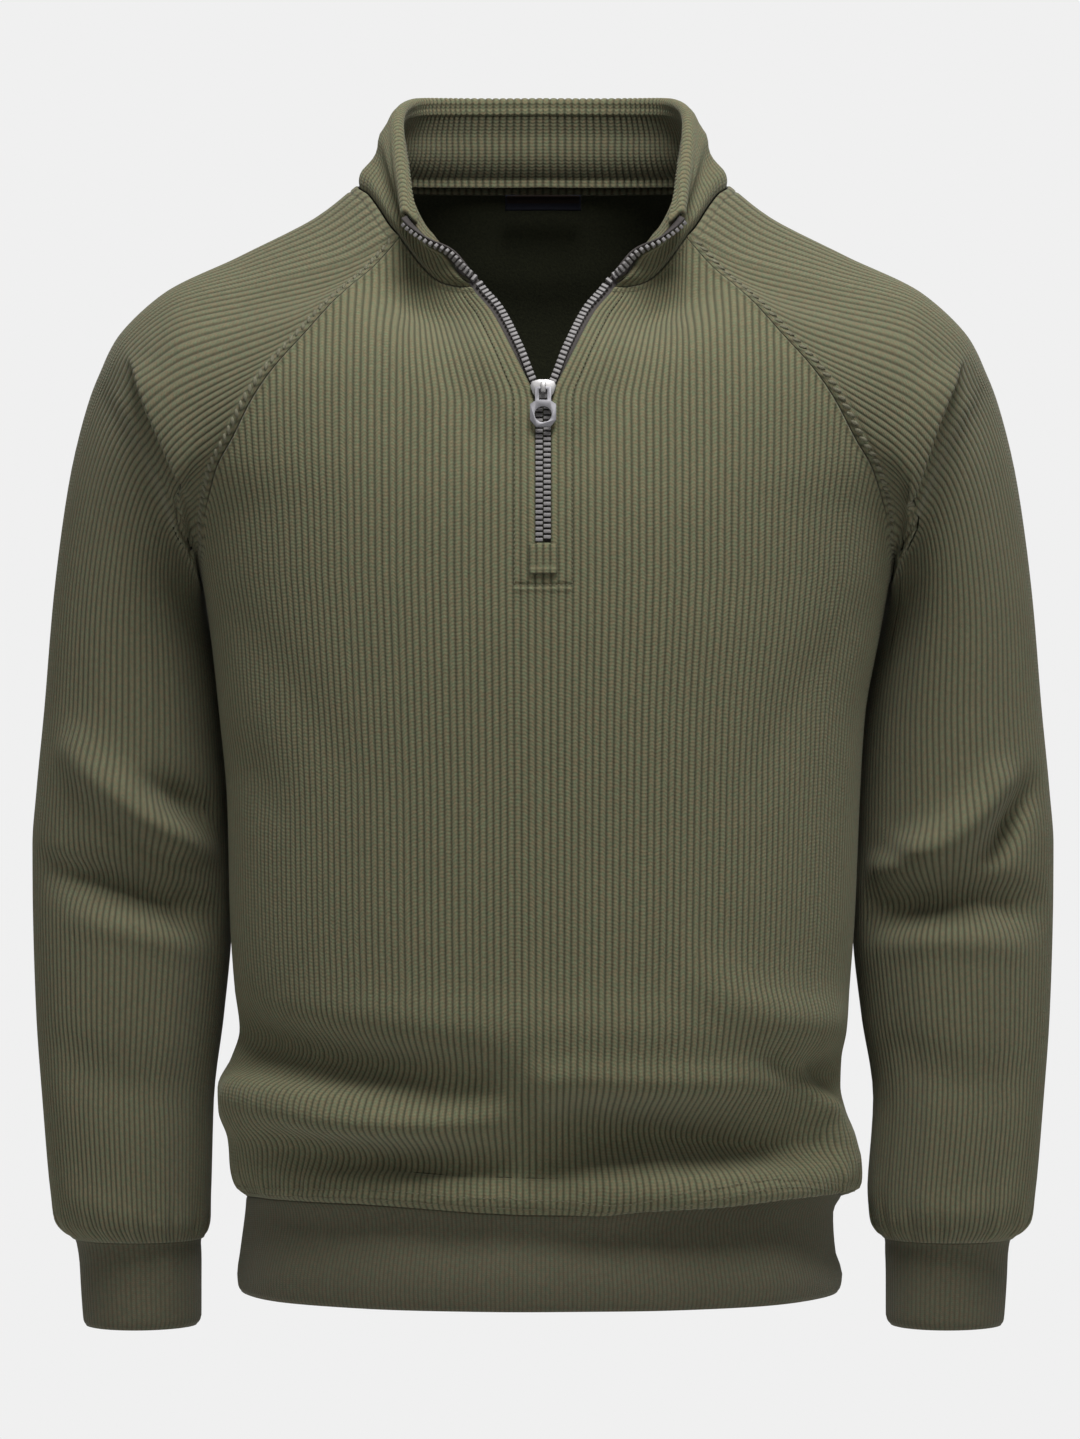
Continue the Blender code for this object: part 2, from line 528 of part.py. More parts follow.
def panel_grid(front):
    """A body panel's points and outward directions, row by row from the hem."""
    shares, tops = panel_shares(front)
    middle = SLIT_END_Z - 0.050 * shares ** 2
    hem = hem_height(shares, front)
    low, high = (FRONT_LOW, FRONT_HIGH) if front else (BACK_LOW, BACK_HIGH)
    rows = [hem + (middle - hem) * part for part in low]
    rows += [middle + (tops - middle) * part for part in high]
    points, normals = panel_point(shares[None, :], np.array(rows), front)
    normals[0, :, 2] = 0.0
    normals[0] /= np.linalg.norm(normals[0], axis=-1, keepdims=True)
    seam_side = -SEAM_GAP / 2 if front else SEAM_GAP / 2
    for edge, side in ((0, -1.0), (-1, 1.0)):
        points[:, edge, 1] = seam_side
        normals[:, edge, 1] = 0.0
        normals[:, edge] /= np.linalg.norm(normals[:, edge], axis=-1, keepdims=True)
    return points, normals


def panel_inside(front):
    """The columns that a body panel's plain inside keeps."""
    half = spaced(2 * RAGLAN_RIBS, RAGLAN_FACETS)
    half += [2 * RAGLAN_RIBS + column for column in spaced(2 * NECK_PANEL_RIBS, NECK_FACETS)[1:]]
    last = half[-1]
    if front:
        return half + [last + 1] + [2 * last + 2 - column for column in reversed(half)]
    return half + [2 * last - column for column in reversed(half[:-1])]


def panel_rise(front, columns):
    """Rib heights for a panel, whose slit edges and middle stay level."""
    rise = rib_rise(columns)
    if front:
        middle = columns // 2
        rise = [RIB_RISE if (abs(column - middle) - 1) % 2 else -RIB_RISE for column in range(columns)]
        rise[middle] = -RIB_RISE
    return rise


def build_panels(group, finish):
    """Front and back body panels; their grids are kept for the pieces sewn to them."""
    grids = {}
    for name, front in (("front", True), ("back", False)):
        points, normals = panel_grid(front)
        columns = points.shape[1]
        middle = columns // 2
        slit = (len(FRONT_LOW) - 1, middle - 1, middle + 1) if front else None
        mesh = wall_mesh(name, points, normals, panel_rise(front, columns), panel_inside(front), slit=slit)
        add_object(name, mesh, group, finish)
        grids[name] = (points, normals)
    return grids


def neck_columns():
    """How many columns the neck end of each panel's half has."""
    return 2 * NECK_PANEL_RIBS


def shoulder_neck(side):
    """The sleeve's own piece of the neck seam, from the front to the back, ends included."""
    turn = np.linspace(0.0, 1.0, 2 * SHOULDER_RIBS + 1)
    z = NECK_SHOULDER.at("z", turn)
    angle = np.radians(NECK_SHOULDER.at("angle", turn))
    sides = np.full_like(z, side)
    front = angle <= math.pi / 2
    a = half_width(sides, z)
    b = np.where(front, TORSO.at("front", z), TORSO.at("back", z))
    power = 2.0 / SQUARENESS
    x = side * a * np.sin(angle) ** power
    y = b * np.abs(np.cos(angle)) ** power * np.where(front, -1.0, 1.0)
    normal = np.where(front[:, None], form_normal(x, np.minimum(y, -1e-6), z, "front"),
                      form_normal(x, np.maximum(y, 1e-6), z, "back"))
    return np.stack((x, y, z), axis=-1), normal


# ---------------------------------------------------------------- sleeves
def raglan_loop(grids, side):
    """The sleeve's seam loop from the underarm up the front, over the neck and down the back."""
    front, front_normals = grids["front"]
    back, back_normals = grids["back"]
    edge = slice(0, 2 * RAGLAN_RIBS + 1)
    front_row, front_n = front[-1], front_normals[-1]
    back_row, back_n = back[-1], back_normals[-1]
    if side > 0:
        front_row, front_n, back_row, back_n = front_row[::-1], front_n[::-1], back_row[::-1], back_n[::-1]
    neck, neck_n = shoulder_neck(side)
    points = np.concatenate((front_row[edge], neck[1:-1], back_row[edge][:0:-1]))
    normals = np.concatenate((front_n[edge], neck_n[1:-1], back_n[edge][:0:-1]))
    points[0, 1] = 0.0
    tangent = np.roll(points, -1, axis=0) - np.roll(points, 1, axis=0)
    tangent /= np.linalg.norm(tangent, axis=-1, keepdims=True)
    away = np.cross(normals, tangent) * -side
    away /= np.linalg.norm(away, axis=-1, keepdims=True)
    return points + away * SEAM_GAP * 2, normals


def oval_ring(ring, side, places):
    """Points round one ring at shares of its girth, from the inner edge by the front and back."""
    outer = np.array([SLEEVE.at("outer_x", ring), SLEEVE.at("outer_z", ring)])
    inner_name = "inner_right" if side < 0 else "inner_left"
    inner = np.array([SLEEVE.at(inner_name, ring), SLEEVE.at("inner_z", ring)])
    centre, half = (outer + inner) / 2, (outer - inner) / 2
    length = np.linalg.norm(half)
    up = half / length
    lean = np.array([-up[1], up[0]]) * float(SLEEVE.at("lean", ring))
    set_back = float(SLEEVE.at("set_back", ring))
    turn = np.linspace(0.0, math.pi, 161)
    power = 2.0 / OVAL
    result = np.zeros((len(places), 3))
    for depth_name, sign in (("front", -1.0), ("back", 1.0)):
        depth = float(SLEEVE.at(depth_name, ring))
        along = -np.sign(np.cos(turn)) * length * np.abs(np.cos(turn)) ** power
        out = np.sin(turn) ** power
        arc = np.concatenate(([0.0], np.cumsum(np.hypot(np.diff(along), np.diff(depth * out)))))
        arc /= arc[-1]
        chosen = places <= 0.5 if sign < 0 else places > 0.5
        share = places[chosen] * 2 if sign < 0 else (1.0 - places[chosen]) * 2
        at, outward = np.interp(share, arc, along), np.interp(share, arc, out)
        plane = centre + up * at[:, None] + lean * outward[:, None]
        result[chosen] = np.stack((side * plane[:, 0], set_back + sign * depth * outward, plane[:, 1]),
                                  axis=-1)
    return result


def sleeve_grid(grids, side):
    """All rings of a sleeve, with the seam loop first."""
    loop, loop_normals = raglan_loop(grids, side)
    count = len(loop)
    lengths = np.linalg.norm(np.roll(loop, -1, axis=0) - loop, axis=-1)
    along = np.concatenate(([0.0], np.cumsum(lengths)))
    top = 2 * RAGLAN_RIBS + SHOULDER_RIBS
    seam_places = np.where(np.arange(count) <= top, 0.5 * along[:-1] / along[top],
                           0.5 + 0.5 * (along[:-1] - along[top]) / (along[-1] - along[top]))
    even_places = np.where(np.arange(count) <= top, 0.5 * np.arange(count) / top,
                           0.5 + 0.5 * (np.arange(count) - top) / (count - top))
    difference = loop - oval_ring(0, side, seam_places)
    from_underarm = np.clip((np.minimum(seam_places, 1 - seam_places) - 0.08) / 0.22, 0.0, 1.0)
    low_part = 1 - from_underarm ** 2 * (3 - 2 * from_underarm)
    rings = [loop]
    for ring in SLEEVE.keys[1:]:
        blend = min(1.0, ring / EVEN_FROM_RING)
        places = seam_places * (1 - blend) + even_places * blend
        left = low_part * SLEEVE.at("seam_low", ring) + (1 - low_part) * SLEEVE.at("seam", ring)
        rings.append(oval_ring(ring, side, places) + difference * left[:, None])
    grid = np.array(rings)
    normals = grid_normals(grid, closed=True) * side
    normals[0] = loop_normals
    folds = RIGHT_SLEEVE_FOLDS if side < 0 else LEFT_SLEEVE_FOLDS
    back_folds = [tuple(-side * value if name[0] == "x" else value for name, value in zip(FOLD_COLUMNS, fold))
                  for fold in SLEEVE_BACK_FOLDS]
    facing_front = np.clip(-normals[..., 1] * 2.0 - 0.7, 0.0, 1.0)
    facing_back = np.clip(normals[..., 1] * 2.0 - 0.7, 0.0, 1.0)
    flat = grid.reshape(-1, 3)
    rise = (fold_rise(flat, folds).reshape(grid.shape[:2]) * facing_front
            + fold_rise(flat, back_folds).reshape(grid.shape[:2]) * facing_back)
    grid = grid + normals * rise[..., None]
    normals[-1, :, 2] = 0.0
    normals[-1] /= np.linalg.norm(normals[-1], axis=-1, keepdims=True)
    grid[-1, :, 2] = CUFF_SEAM_Z
    return grid, normals


def sleeve_inside():
    """The columns that the sleeve's plain inside keeps; they meet the panels' own."""
    seam = spaced(2 * RAGLAN_RIBS, RAGLAN_FACETS)
    neck = [2 * RAGLAN_RIBS + column for column in spaced(2 * SHOULDER_RIBS, SHOULDER_FACETS)[1:]]
    start = 2 * RAGLAN_RIBS + 2 * SHOULDER_RIBS
    back = [start + 2 * RAGLAN_RIBS - column for column in reversed(seam)][1:-1]
    return seam + neck + back


def build_sleeves(group, finish, grids):
    """Both sleeves, each one closed tube from its seam loop to the cuff."""
    for name, side in (("sleeve_right", -1.0), ("sleeve_left", 1.0)):
        grid, normals = sleeve_grid(grids, side)
        rise = rib_rise(grid.shape[1])
        mesh = wall_mesh(name, grid, normals, rise, sleeve_inside(), closed=True)
        add_object(name, mesh, group, finish)


def build_cuffs(group, finish):
    """Tubular cuffs with flat ends that meet the sleeves' ends."""
    heights = (CUFF_SEAM_Z - SEAM_GAP, -0.6430, CUFF_END_Z)
    turn = np.linspace(0.0, 2 * math.pi, 25)[:-1]
    for name, side in (("cuff_right", -1.0), ("cuff_left", 1.0)):
        rows = []
        for z in heights:
            outer, inner = float(CUFF.at("outer_x", z)), float(CUFF.at("inner_x", z))
            depth = float(CUFF.at("depth", z))
            x = (outer + inner) / 2 + (outer - inner) / 2 * np.cos(turn)
            y = CUFF_SET_BACK + depth * np.sin(turn)
            rows.append(np.stack((side * x, y, np.full_like(x, z)), axis=-1))
        grid = np.array(rows)
        normals = grid_normals(grid, closed=True) * side
        normals[..., 2] = 0.0
        normals /= np.linalg.norm(normals, axis=-1, keepdims=True)
        mesh = wall_mesh(name, grid, normals, [0.0] * len(turn), list(range(len(turn))), closed=True,
                         thickness=BAND_WALL)
        add_object(name, mesh, group, finish)


def build_waistband(group, finish):
    """Tubular waistband whose top edge follows the hem seam's wave."""
    rows = []
    for part in (0.0, 0.30, 1.0):
        ring = []
        for front in (True, False):
            order = panel_shares(front)[0][panel_inside(front)][::1 if front else -1]
            z = (hem_height(order, front) - SEAM_GAP) * (1 - part) + HEM_Z * part
            points, _ = panel_point(order, z, front)
            ring.append(points[:-1])
        rows.append(np.concatenate(ring))
    grid = np.array(rows)
    normals = grid_normals(grid, closed=True)
    normals[..., 2] = 0.0
    normals /= np.linalg.norm(normals, axis=-1, keepdims=True)
    columns = grid.shape[1]
    mesh = wall_mesh("waistband", grid, normals, [0.0] * columns, list(range(columns)), closed=True,
                     thickness=BAND_WALL)
    add_object("waistband", mesh, group, finish)


# ---------------------------------------------------------------- collar
def neck_seam(grids):
    """The whole neck seam from the wearer's right of the zip round the back to the left."""
    count = neck_columns()
    front, front_n = grids["front"][0][-1], grids["front"][1][-1]
    back, back_n = grids["back"][0][-1], grids["back"][1][-1]
    middle = len(front) // 2
    points, normals = [front[middle - 1 - count:middle][::-1]], [front_n[middle - 1 - count:middle][::-1]]
    right, right_n = shoulder_neck(-1.0)
    points.append(right[1:-1])
    normals.append(right_n[1:-1])
    centre = len(back) // 2
    points.append(back[centre - count:centre + count + 1])
    normals.append(back_n[centre - count:centre + count + 1])
    left, left_n = shoulder_neck(1.0)
    points.append(left[1:-1][::-1])
    normals.append(left_n[1:-1][::-1])
    points.append(front[middle + 1:middle + 2 + count][::-1])
    normals.append(front_n[middle + 1:middle + 2 + count][::-1])
    return np.concatenate(points), np.concatenate(normals)


def collar_turns(points):
    """Share of the way from the zip to the centre back at each point of the neck seam."""
    steps = np.linalg.norm(np.diff(points, axis=0), axis=-1)
    along = np.concatenate(([0.0], np.cumsum(steps)))
    middle = len(points) // 2
    half = np.where(np.arange(len(points)) <= middle, along / along[middle],
                    (along[-1] - along) / (along[-1] - along[middle]))
    return half, np.where(np.arange(len(points)) <= middle, -1.0, 1.0)


def collar_leg(grids):
    """Rows of the collar's outer face from the neck seam to where it rolls over."""
    seam, seam_normals = neck_seam(grids)
    turn, side = collar_turns(seam)
    top = np.stack([COLLAR_TOP.at(name, turn) for name in ("x", "y", "z")], axis=-1)
    top[:, 0] *= side
    tangent = np.gradient(seam, axis=0)
    away = np.cross(seam_normals, tangent)
    away /= np.linalg.norm(away, axis=-1, keepdims=True)
    base = seam + away * COLLAR_GAP * np.sign((away * (top - seam)).sum(axis=-1, keepdims=True))
    rows = np.array([base + (top - base) * height for height in COLLAR_ROWS])
    normals = grid_normals(rows, closed=False)
    outward = np.array([COLLAR_BULGE.at("out", height) for height in COLLAR_ROWS])
    rows = rows + normals * outward[:, None, None]
    normals[0] = seam_normals
    return rows, normals, top


def collar_grids(grids):
    """The outer band's grid with its roll, and the facing's grid on the inside."""
    rows, normals, top = collar_leg(grids)
    out = normals[-1]
    rise = top - rows[-1]
    up = rise - out * (rise * out).sum(axis=-1, keepdims=True)
    up /= np.linalg.norm(up, axis=-1, keepdims=True)
    centre = rows[-1] - out * ROLL_RADIUS
    band, band_normals = [*rows], [*normals]
    for angle in (math.pi * 0.36, math.pi * 0.68, math.pi):
        direction = out * math.cos(angle) + up * math.sin(angle)
        band.append(centre + direction * ROLL_RADIUS)
        band_normals.append(direction)
    band.append(band[-1] - up * ROLL_RETURN)
    band_normals.append(-out)
    own = grid_normals(rows, closed=False)
    facing, facing_normals = [band[-1] - up * COLLAR_GAP], [-out]
    for k in range(len(rows) - 2, -1, -1):
        point = rows[k] - own[k] * FACING_DEPTH
        if k == 0:
            step = rows[1] - rows[0]
            point = point + step / np.linalg.norm(step, axis=-1, keepdims=True) * FACING_LIFT
        facing.append(point)
        facing_normals.append(-own[k])
    return (np.array(band), np.array(band_normals)), (np.array(facing), np.array(facing_normals))


def collar_inside(columns):
    """The columns that the collar's plain side keeps; they meet the panels' and sleeves' own."""
    neck = spaced(2 * NECK_PANEL_RIBS, NECK_FACETS)
    shoulder = [neck[-1] + column for column in spaced(2 * SHOULDER_RIBS, SHOULDER_FACETS)[1:]]
    start = shoulder[-1]
    back = [start + 2 * NECK_PANEL_RIBS - column for column in reversed(neck)][1:]
    half = neck + shoulder + back
    return half + [columns - 1 - column for column in reversed(half[:-1])]


def build_collar(group, finish, facing_finish, grids):
    """The collar's outer band and its facing."""
    band, facing = collar_grids(grids)
    columns = band[0].shape[1]
    pieces = (("collar", band, finish), ("collar_facing", facing, facing_finish))
    for name, (points, normals), cloth in pieces:
        mesh = wall_mesh(name, points, normals, rib_rise(columns), collar_inside(columns))
        add_object(name, mesh, group, cloth)
    return band


# ---------------------------------------------------------------- zip
def zip_edge(grids, band, side):
    """The cloth's edge from the bottom of the slit to the top of the collar."""
    points, normals = grids["front"]
    first = len(FRONT_LOW) - 1
    column = points.shape[1] // 2 + int(side)
    low, low_n = points[first:, column].copy(), normals[first:, column]
    low[0] += (low[1] - low[0]) * 0.03
    column = 0 if side < 0 else -1
    high, high_n = band[0][1:len(COLLAR_ROWS), column], band[1][1:len(COLLAR_ROWS), column]
    edge, normals = np.concatenate((low, high)), np.concatenate((low_n, high_n))
    split = np.arange(len(low) - 2, len(edge) - 1)
    edge = np.insert(edge, split + 1, (edge[split] + edge[split + 1]) / 2, axis=0)
    normals = np.insert(normals, split + 1, (normals[split] + normals[split + 1]) / 2, axis=0)
    for _ in range(3):
        around = np.concatenate((normals[:1], normals, normals[-1:]))
        normals = (around[:-2] + 2 * normals + around[2:]) / 4
    return edge, normals / np.linalg.norm(normals, axis=-1, keepdims=True)


def ribbon(name, edge, normals, side, spans, low, high):
    """A flat strip beside the cloth's edge, from one sideways distance to another."""
    tangent = np.gradient(edge, axis=0)
    inward = np.cross(tangent, normals) * -side
    inward /= np.linalg.norm(inward, axis=-1, keepdims=True)
    form = bmesh.new()
    previous = None
    for point, normal, way, (near, far) in zip(edge, normals, inward, spans):
        corners = [form.verts.new(point + way * across + normal * out)
                   for across, out in ((near, low), (far, low), (far, high), (near, high))]
        if previous:
            for k in range(4):
                form.faces.new((previous[k], previous[(k + 1) % 4], corners[(k + 1) % 4], corners[k]))
        else:
            form.faces.new(corners)
        previous = corners
    form.faces.new(previous)
    bmesh.ops.triangulate(form, faces=form.faces)
    bmesh.ops.recalc_face_normals(form, faces=form.faces)
    mesh = bpy.data.meshes.new(name)
    form.to_mesh(mesh)
    form.free()
    return mesh


def build_zip_strips(group, tape_finish, metal, grids, band):
    """Tape and teeth strips along both sides of the slit."""
    for name, side in (("right", -1.0), ("left", 1.0)):
        edge, normals = zip_edge(grids, band, side)
        shown = TAPE_SHOWN.at("shown", edge[:, 2])
        tape = [(SEAM_GAP, value + TEETH_WIDTH) for value in shown]
        teeth = [(value, value + TEETH_WIDTH) for value in shown]
        mesh = ribbon("zip_tape_" + name, edge, normals, side, tape, TAPE_BACK, TAPE_FRONT)
        add_object("zip_tape_" + name, mesh, group, tape_finish)
        mesh = ribbon("zip_chain_" + name, edge, normals, side, teeth, TEETH_BACK, TEETH_FRONT)
        add_object("zip_chain_" + name, mesh, group, metal)


def box(name, low, high):
    """A box mesh between two corners."""
    form = bmesh.new()
    bmesh.ops.create_cube(form, size=1.0)
    low, high = Vector(low), Vector(high)
    for vertex in form.verts:
        vertex.co = Vector([low[k] + (vertex.co[k] + 0.5) * (high[k] - low[k]) for k in range(3)])
    mesh = bpy.data.meshes.new(name)
    form.to_mesh(mesh)
    form.free()
    return mesh


def plate(name, outline, low, high):
    """A plate in the seat's own frame: the outline in x and z, its faces at two depths along y."""
    form = bmesh.new()
    face = form.faces.new([form.verts.new((x, -low, z)) for x, z in outline])
    raised = bmesh.ops.extrude_face_region(form, geom=[face])
    for vertex in (item for item in raised["geom"] if isinstance(item, bmesh.types.BMVert)):
        vertex.co.y = -high
    bmesh.ops.recalc_face_normals(form, faces=form.faces)
    mesh = bpy.data.meshes.new(name)
    form.to_mesh(mesh)
    form.free()
    return mesh


def boolean(target, operation, mesh, seat, cutters):
    """A Boolean with a hidden helper object that shares the target's seat."""
    helper = bpy.data.objects.new(f"{target.name}_{operation.lower()}_{len(target.modifiers)}", mesh)
    helper.hide_render = True
    helper.display_type = "WIRE"
    helper.parent = seat
    helper.location = target.location
    cutters.objects.link(helper)
    step = target.modifiers.new(operation.title(), "BOOLEAN")
    step.operation = operation
    step.object = helper


def mirrored(points):
    """An outline from its right half, top to bottom."""
    return list(points) + [(-x, z) for x, z in reversed(points)]


def build_slider(group, cutters, metal):
    """The slider and its pull tab, on a seat that leans with the chest."""
    face, _ = panel_point(0.0, SLIDER_Z, True)
    seat = bpy.data.objects.new("slider_seat", None)
    seat.location = (0.0, face[1], face[2])
    seat.rotation_euler = Euler((-SLIDER_TILT, 0.0, 0.0))
    group.objects.link(seat)
    wide, half = PLATE_WIDTH / 2, PLATE_HEIGHT / 2
    crown = mirrored([(0.0024, half), (wide * 0.86, half * 0.80), (wide, half * 0.30),
                      (wide * 0.80, -half * 0.45), (wide * 0.52, -half)])
    slider = add_object("zip_slider", plate("zip_slider", crown, *PLATE_FRONT), group, metal, smooth=False)
    slider.parent = seat
    boolean(slider, "UNION", plate("slider_back", crown, *PLATE_BACK), seat, cutters)
    post = box("slider_post", (-POST_HALF, -PLATE_FRONT[0] - 0.0004, half - 0.0034),
               (POST_HALF, -PLATE_BACK[1] + 0.0004, half - 0.0006))
    boolean(slider, "UNION", post, seat, cutters)
    bridge = box("slider_bridge", (-0.0014, -BAR_OUT - 0.0024, BAR_UP - 0.0030),
                 (0.0014, -PLATE_FRONT[1] + 0.0004, BAR_UP + 0.0030))
    boolean(slider, "UNION", bridge, seat, cutters)
    tunnel = box("slider_tunnel", (-0.0030, -BAR_OUT - 0.0013, BAR_UP - 0.0016),
                 (0.0030, -BAR_OUT + 0.0013, BAR_UP + 0.0016))
    boolean(slider, "DIFFERENCE", tunnel, seat, cutters)

    wide, neck = TAB_WIDTH / 2, TAB_NECK_WIDTH / 2
    outline = mirrored([(neck, BAR_RADIUS), (neck, -0.0078), (wide, -0.0098), (wide, -TAB_LENGTH + 0.0042),
                        (wide - 0.0034, -TAB_LENGTH)])
    blade = plate("pull_tab", outline, -TAB_THICK / 2, TAB_THICK / 2)
    tab = add_object("pull_tab", blade, group, metal, smooth=False)
    tab.parent = seat
    tab.location = (0.0, -BAR_OUT, BAR_UP)
    window = box("tab_window", (-0.0024, -0.002, -0.0072), (0.0024, 0.002, -BAR_RADIUS))
    boolean(tab, "DIFFERENCE", window, seat, cutters)
    form = bmesh.new()
    bmesh.ops.create_cone(form, cap_ends=True, segments=28, radius1=TAB_HOLE_RADIUS, radius2=TAB_HOLE_RADIUS,
                          depth=0.006)
    bmesh.ops.rotate(form, verts=form.verts, matrix=Euler((math.pi / 2, 0, 0)).to_matrix())
    bmesh.ops.translate(form, verts=form.verts, vec=(0.0, 0.0, -TAB_HOLE_DOWN))
    hole = bpy.data.meshes.new("tab_hole")
    form.to_mesh(hole)
    form.free()
    boolean(tab, "DIFFERENCE", hole, seat, cutters)


def panel_patch(name, front, x_range, z_range, low, high, group, finish, columns=5, rows=3):
    """A small sewn-on piece made from the panel's own points, moved out or in."""
    girth = reach(np.array([1.0]), np.array([UNDERARM_Z]), "front" if front else "back")[0]
    z = np.linspace(*z_range, rows)
    x = np.linspace(*x_range, columns)
    points, normals = panel_point(x[None, :] / girth, z[:, None], front)
    mesh = wall_mesh(name, points + normals * high, normals, [0.0] * columns, list(range(columns)),
                     thickness=high - low)
    return add_object(name, mesh, group, finish)


def main():
    """Build every piece."""
    for existing in list(bpy.data.objects):
        bpy.data.objects.remove(existing)
    group = collection("mock_neck_sweatshirt")
    cutters = collection("helpers")
    knit = material("ribbed_knit", (0.150, 0.143, 0.088), 0.92)
    facing = material("facing_knit", (0.070, 0.066, 0.034), 0.95)
    band_knit = material("fine_rib", (0.075, 0.070, 0.043), 0.92)
    tape = material("zip_tape", (0.060, 0.052, 0.048), 0.80)
    metal = material("zip_metal", (0.52, 0.51, 0.51), 0.32, 1.0)
    label = material("neck_label", (0.020, 0.016, 0.014), 0.70)

    grids = build_panels(group, knit)
    build_sleeves(group, knit, grids)
    build_cuffs(group, band_knit)
    build_waistband(group, band_knit)
    band = build_collar(group, knit, facing, grids)
    build_zip_strips(group, tape, metal, grids, band)
    build_slider(group, cutters, metal)
    panel_patch("zip_end_patch", True, (-0.0080, 0.0080), (-0.2375, -0.2210), RIB_RISE + SEAM_GAP,
                RIB_RISE + SEAM_GAP + 0.0010, group, knit)
    panel_patch("neck_label", False, (-0.0245, 0.0245), (-0.0095, 0.0015), -WALL - LABEL_CLEAR - 0.0007,
                -WALL - LABEL_CLEAR, group, label)


main()
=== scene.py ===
"""Looks of a quarter-zip mock neck sweatshirt in ribbed knit, filled out as if worn.

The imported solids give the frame. Every cloth piece is built again here as a thin wall on its
solid's form, with the knit's ribs at their real pitch, its creases, its seams and its sewing. The
zip gets its teeth, and the slider and pull tab get softened edges. Metres, +Z up, front at -Y.
"""
from __future__ import annotations

import json
import logging
import math
from dataclasses import dataclass, field
from enum import Enum
from functools import partialmethod
from typing import Any, Optional, Sequence

import bmesh
import bpy
import numpy as np
from mathutils import Matrix, Vector

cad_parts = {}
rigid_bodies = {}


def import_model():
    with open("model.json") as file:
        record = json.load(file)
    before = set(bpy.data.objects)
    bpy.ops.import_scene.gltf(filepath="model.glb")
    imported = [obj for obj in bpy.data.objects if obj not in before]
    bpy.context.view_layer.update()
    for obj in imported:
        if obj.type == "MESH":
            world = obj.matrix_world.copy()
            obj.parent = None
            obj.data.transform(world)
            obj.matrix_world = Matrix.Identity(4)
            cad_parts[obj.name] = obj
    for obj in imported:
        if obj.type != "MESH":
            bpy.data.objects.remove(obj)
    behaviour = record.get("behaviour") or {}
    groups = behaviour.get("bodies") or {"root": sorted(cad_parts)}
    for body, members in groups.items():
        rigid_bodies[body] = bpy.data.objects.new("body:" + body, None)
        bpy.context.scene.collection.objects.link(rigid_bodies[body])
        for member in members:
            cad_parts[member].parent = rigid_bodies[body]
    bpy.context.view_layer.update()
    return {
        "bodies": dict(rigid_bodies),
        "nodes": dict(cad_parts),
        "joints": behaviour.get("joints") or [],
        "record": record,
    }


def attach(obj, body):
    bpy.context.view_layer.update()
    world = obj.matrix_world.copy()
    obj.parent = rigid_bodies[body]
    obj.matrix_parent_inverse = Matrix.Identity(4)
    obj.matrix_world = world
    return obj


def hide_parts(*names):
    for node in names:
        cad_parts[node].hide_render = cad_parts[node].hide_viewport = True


LOG = logging.getLogger("sweatshirt")
Grid = np.ndarray

# ---------------------------------------------------------------- sizes shared by the pieces
WALL = 0.0022                # knit from the middle of a rib to the plain inside
SEAM_GAP = 0.0003
COLLAR_GAP = 0.0005
BAND_WALL = 0.0026           # waistband and cuffs, a closer knit folded double
UNDERARM_Z = -0.2380
HEM_SEAM_Z = -0.6055
HEM_Z = -0.6615
CUFF_SEAM_Z = -0.6336
CUFF_END_Z = -0.6865
CUFF_SET_BACK = 0.025
SLIT_END_Z = -0.2199
SQUARENESS = 2.3             # of the body's sections, 2 would be an ellipse
OVAL = 2.15                  # squareness of the sleeve's rings
SLIT_EDGE = 0.0045           # cloth edge from the middle of the closed zip
SLIT_SPREAD = 0.085          # cloth this far from the middle stays put where the zip is open
WAVE_FADE = 0.070            # the hem's wave dies out this far above the seam
RIB_PITCH = 0.0042
RIB_HEIGHT = 0.00095
FINE_PITCH = 0.0026
FINE_HEIGHT = 0.00030
RIB_PHASES = (0.0, 0.13, 0.34, 0.66, 0.87)   # points across one rib, groove first
RIB_LEVELS = (0.0, 0.60, 1.0, 1.0, 0.60)
RIB_POINTS = len(RIB_PHASES)
EVEN_FROM_RING = 7.0         # from this ring of the sleeve on the ribs are evenly spaced
EDGES_RAGLAN = 28            # steps of the sleeve's seam loop along one raglan seam
EDGES_NECK = 12              # and along the neck, so the walls part where the solids do
EDGES_LOOP = 2 * EDGES_RAGLAN + EDGES_NECK
LAST_RING = 18.0             # the sleeve's ring at the cuff
BESIDE_SEAM = 61             # of its finely sampled rings, those up to ring 3
NECK_CORNER_Z = -0.0360      # where the front's neck seam meets its raglan seams
NECK_SPREAD_Z = -0.0655      # where the opening's spread is read for the neck seam
COLLAR_HALF = 0.27           # half the collar's length, from the zip to the centre back
CHUNK = 12000                # points worked out at a time
STITCH_LENGTH = 0.0030


class Panel(Enum):
    """The two body panels."""

    FRONT = "front"
    BACK = "back"

    @property
    def sign(self) -> float:
        """The sign of its Y."""
        return -1.0 if self is Panel.FRONT else 1.0


class Side(Enum):
    """The wearer's two sides, with the sign of their X."""

    RIGHT = -1.0
    LEFT = 1.0

    @property
    def word(self) -> str:
        """The side's name in lower case."""
        return self.name.lower()


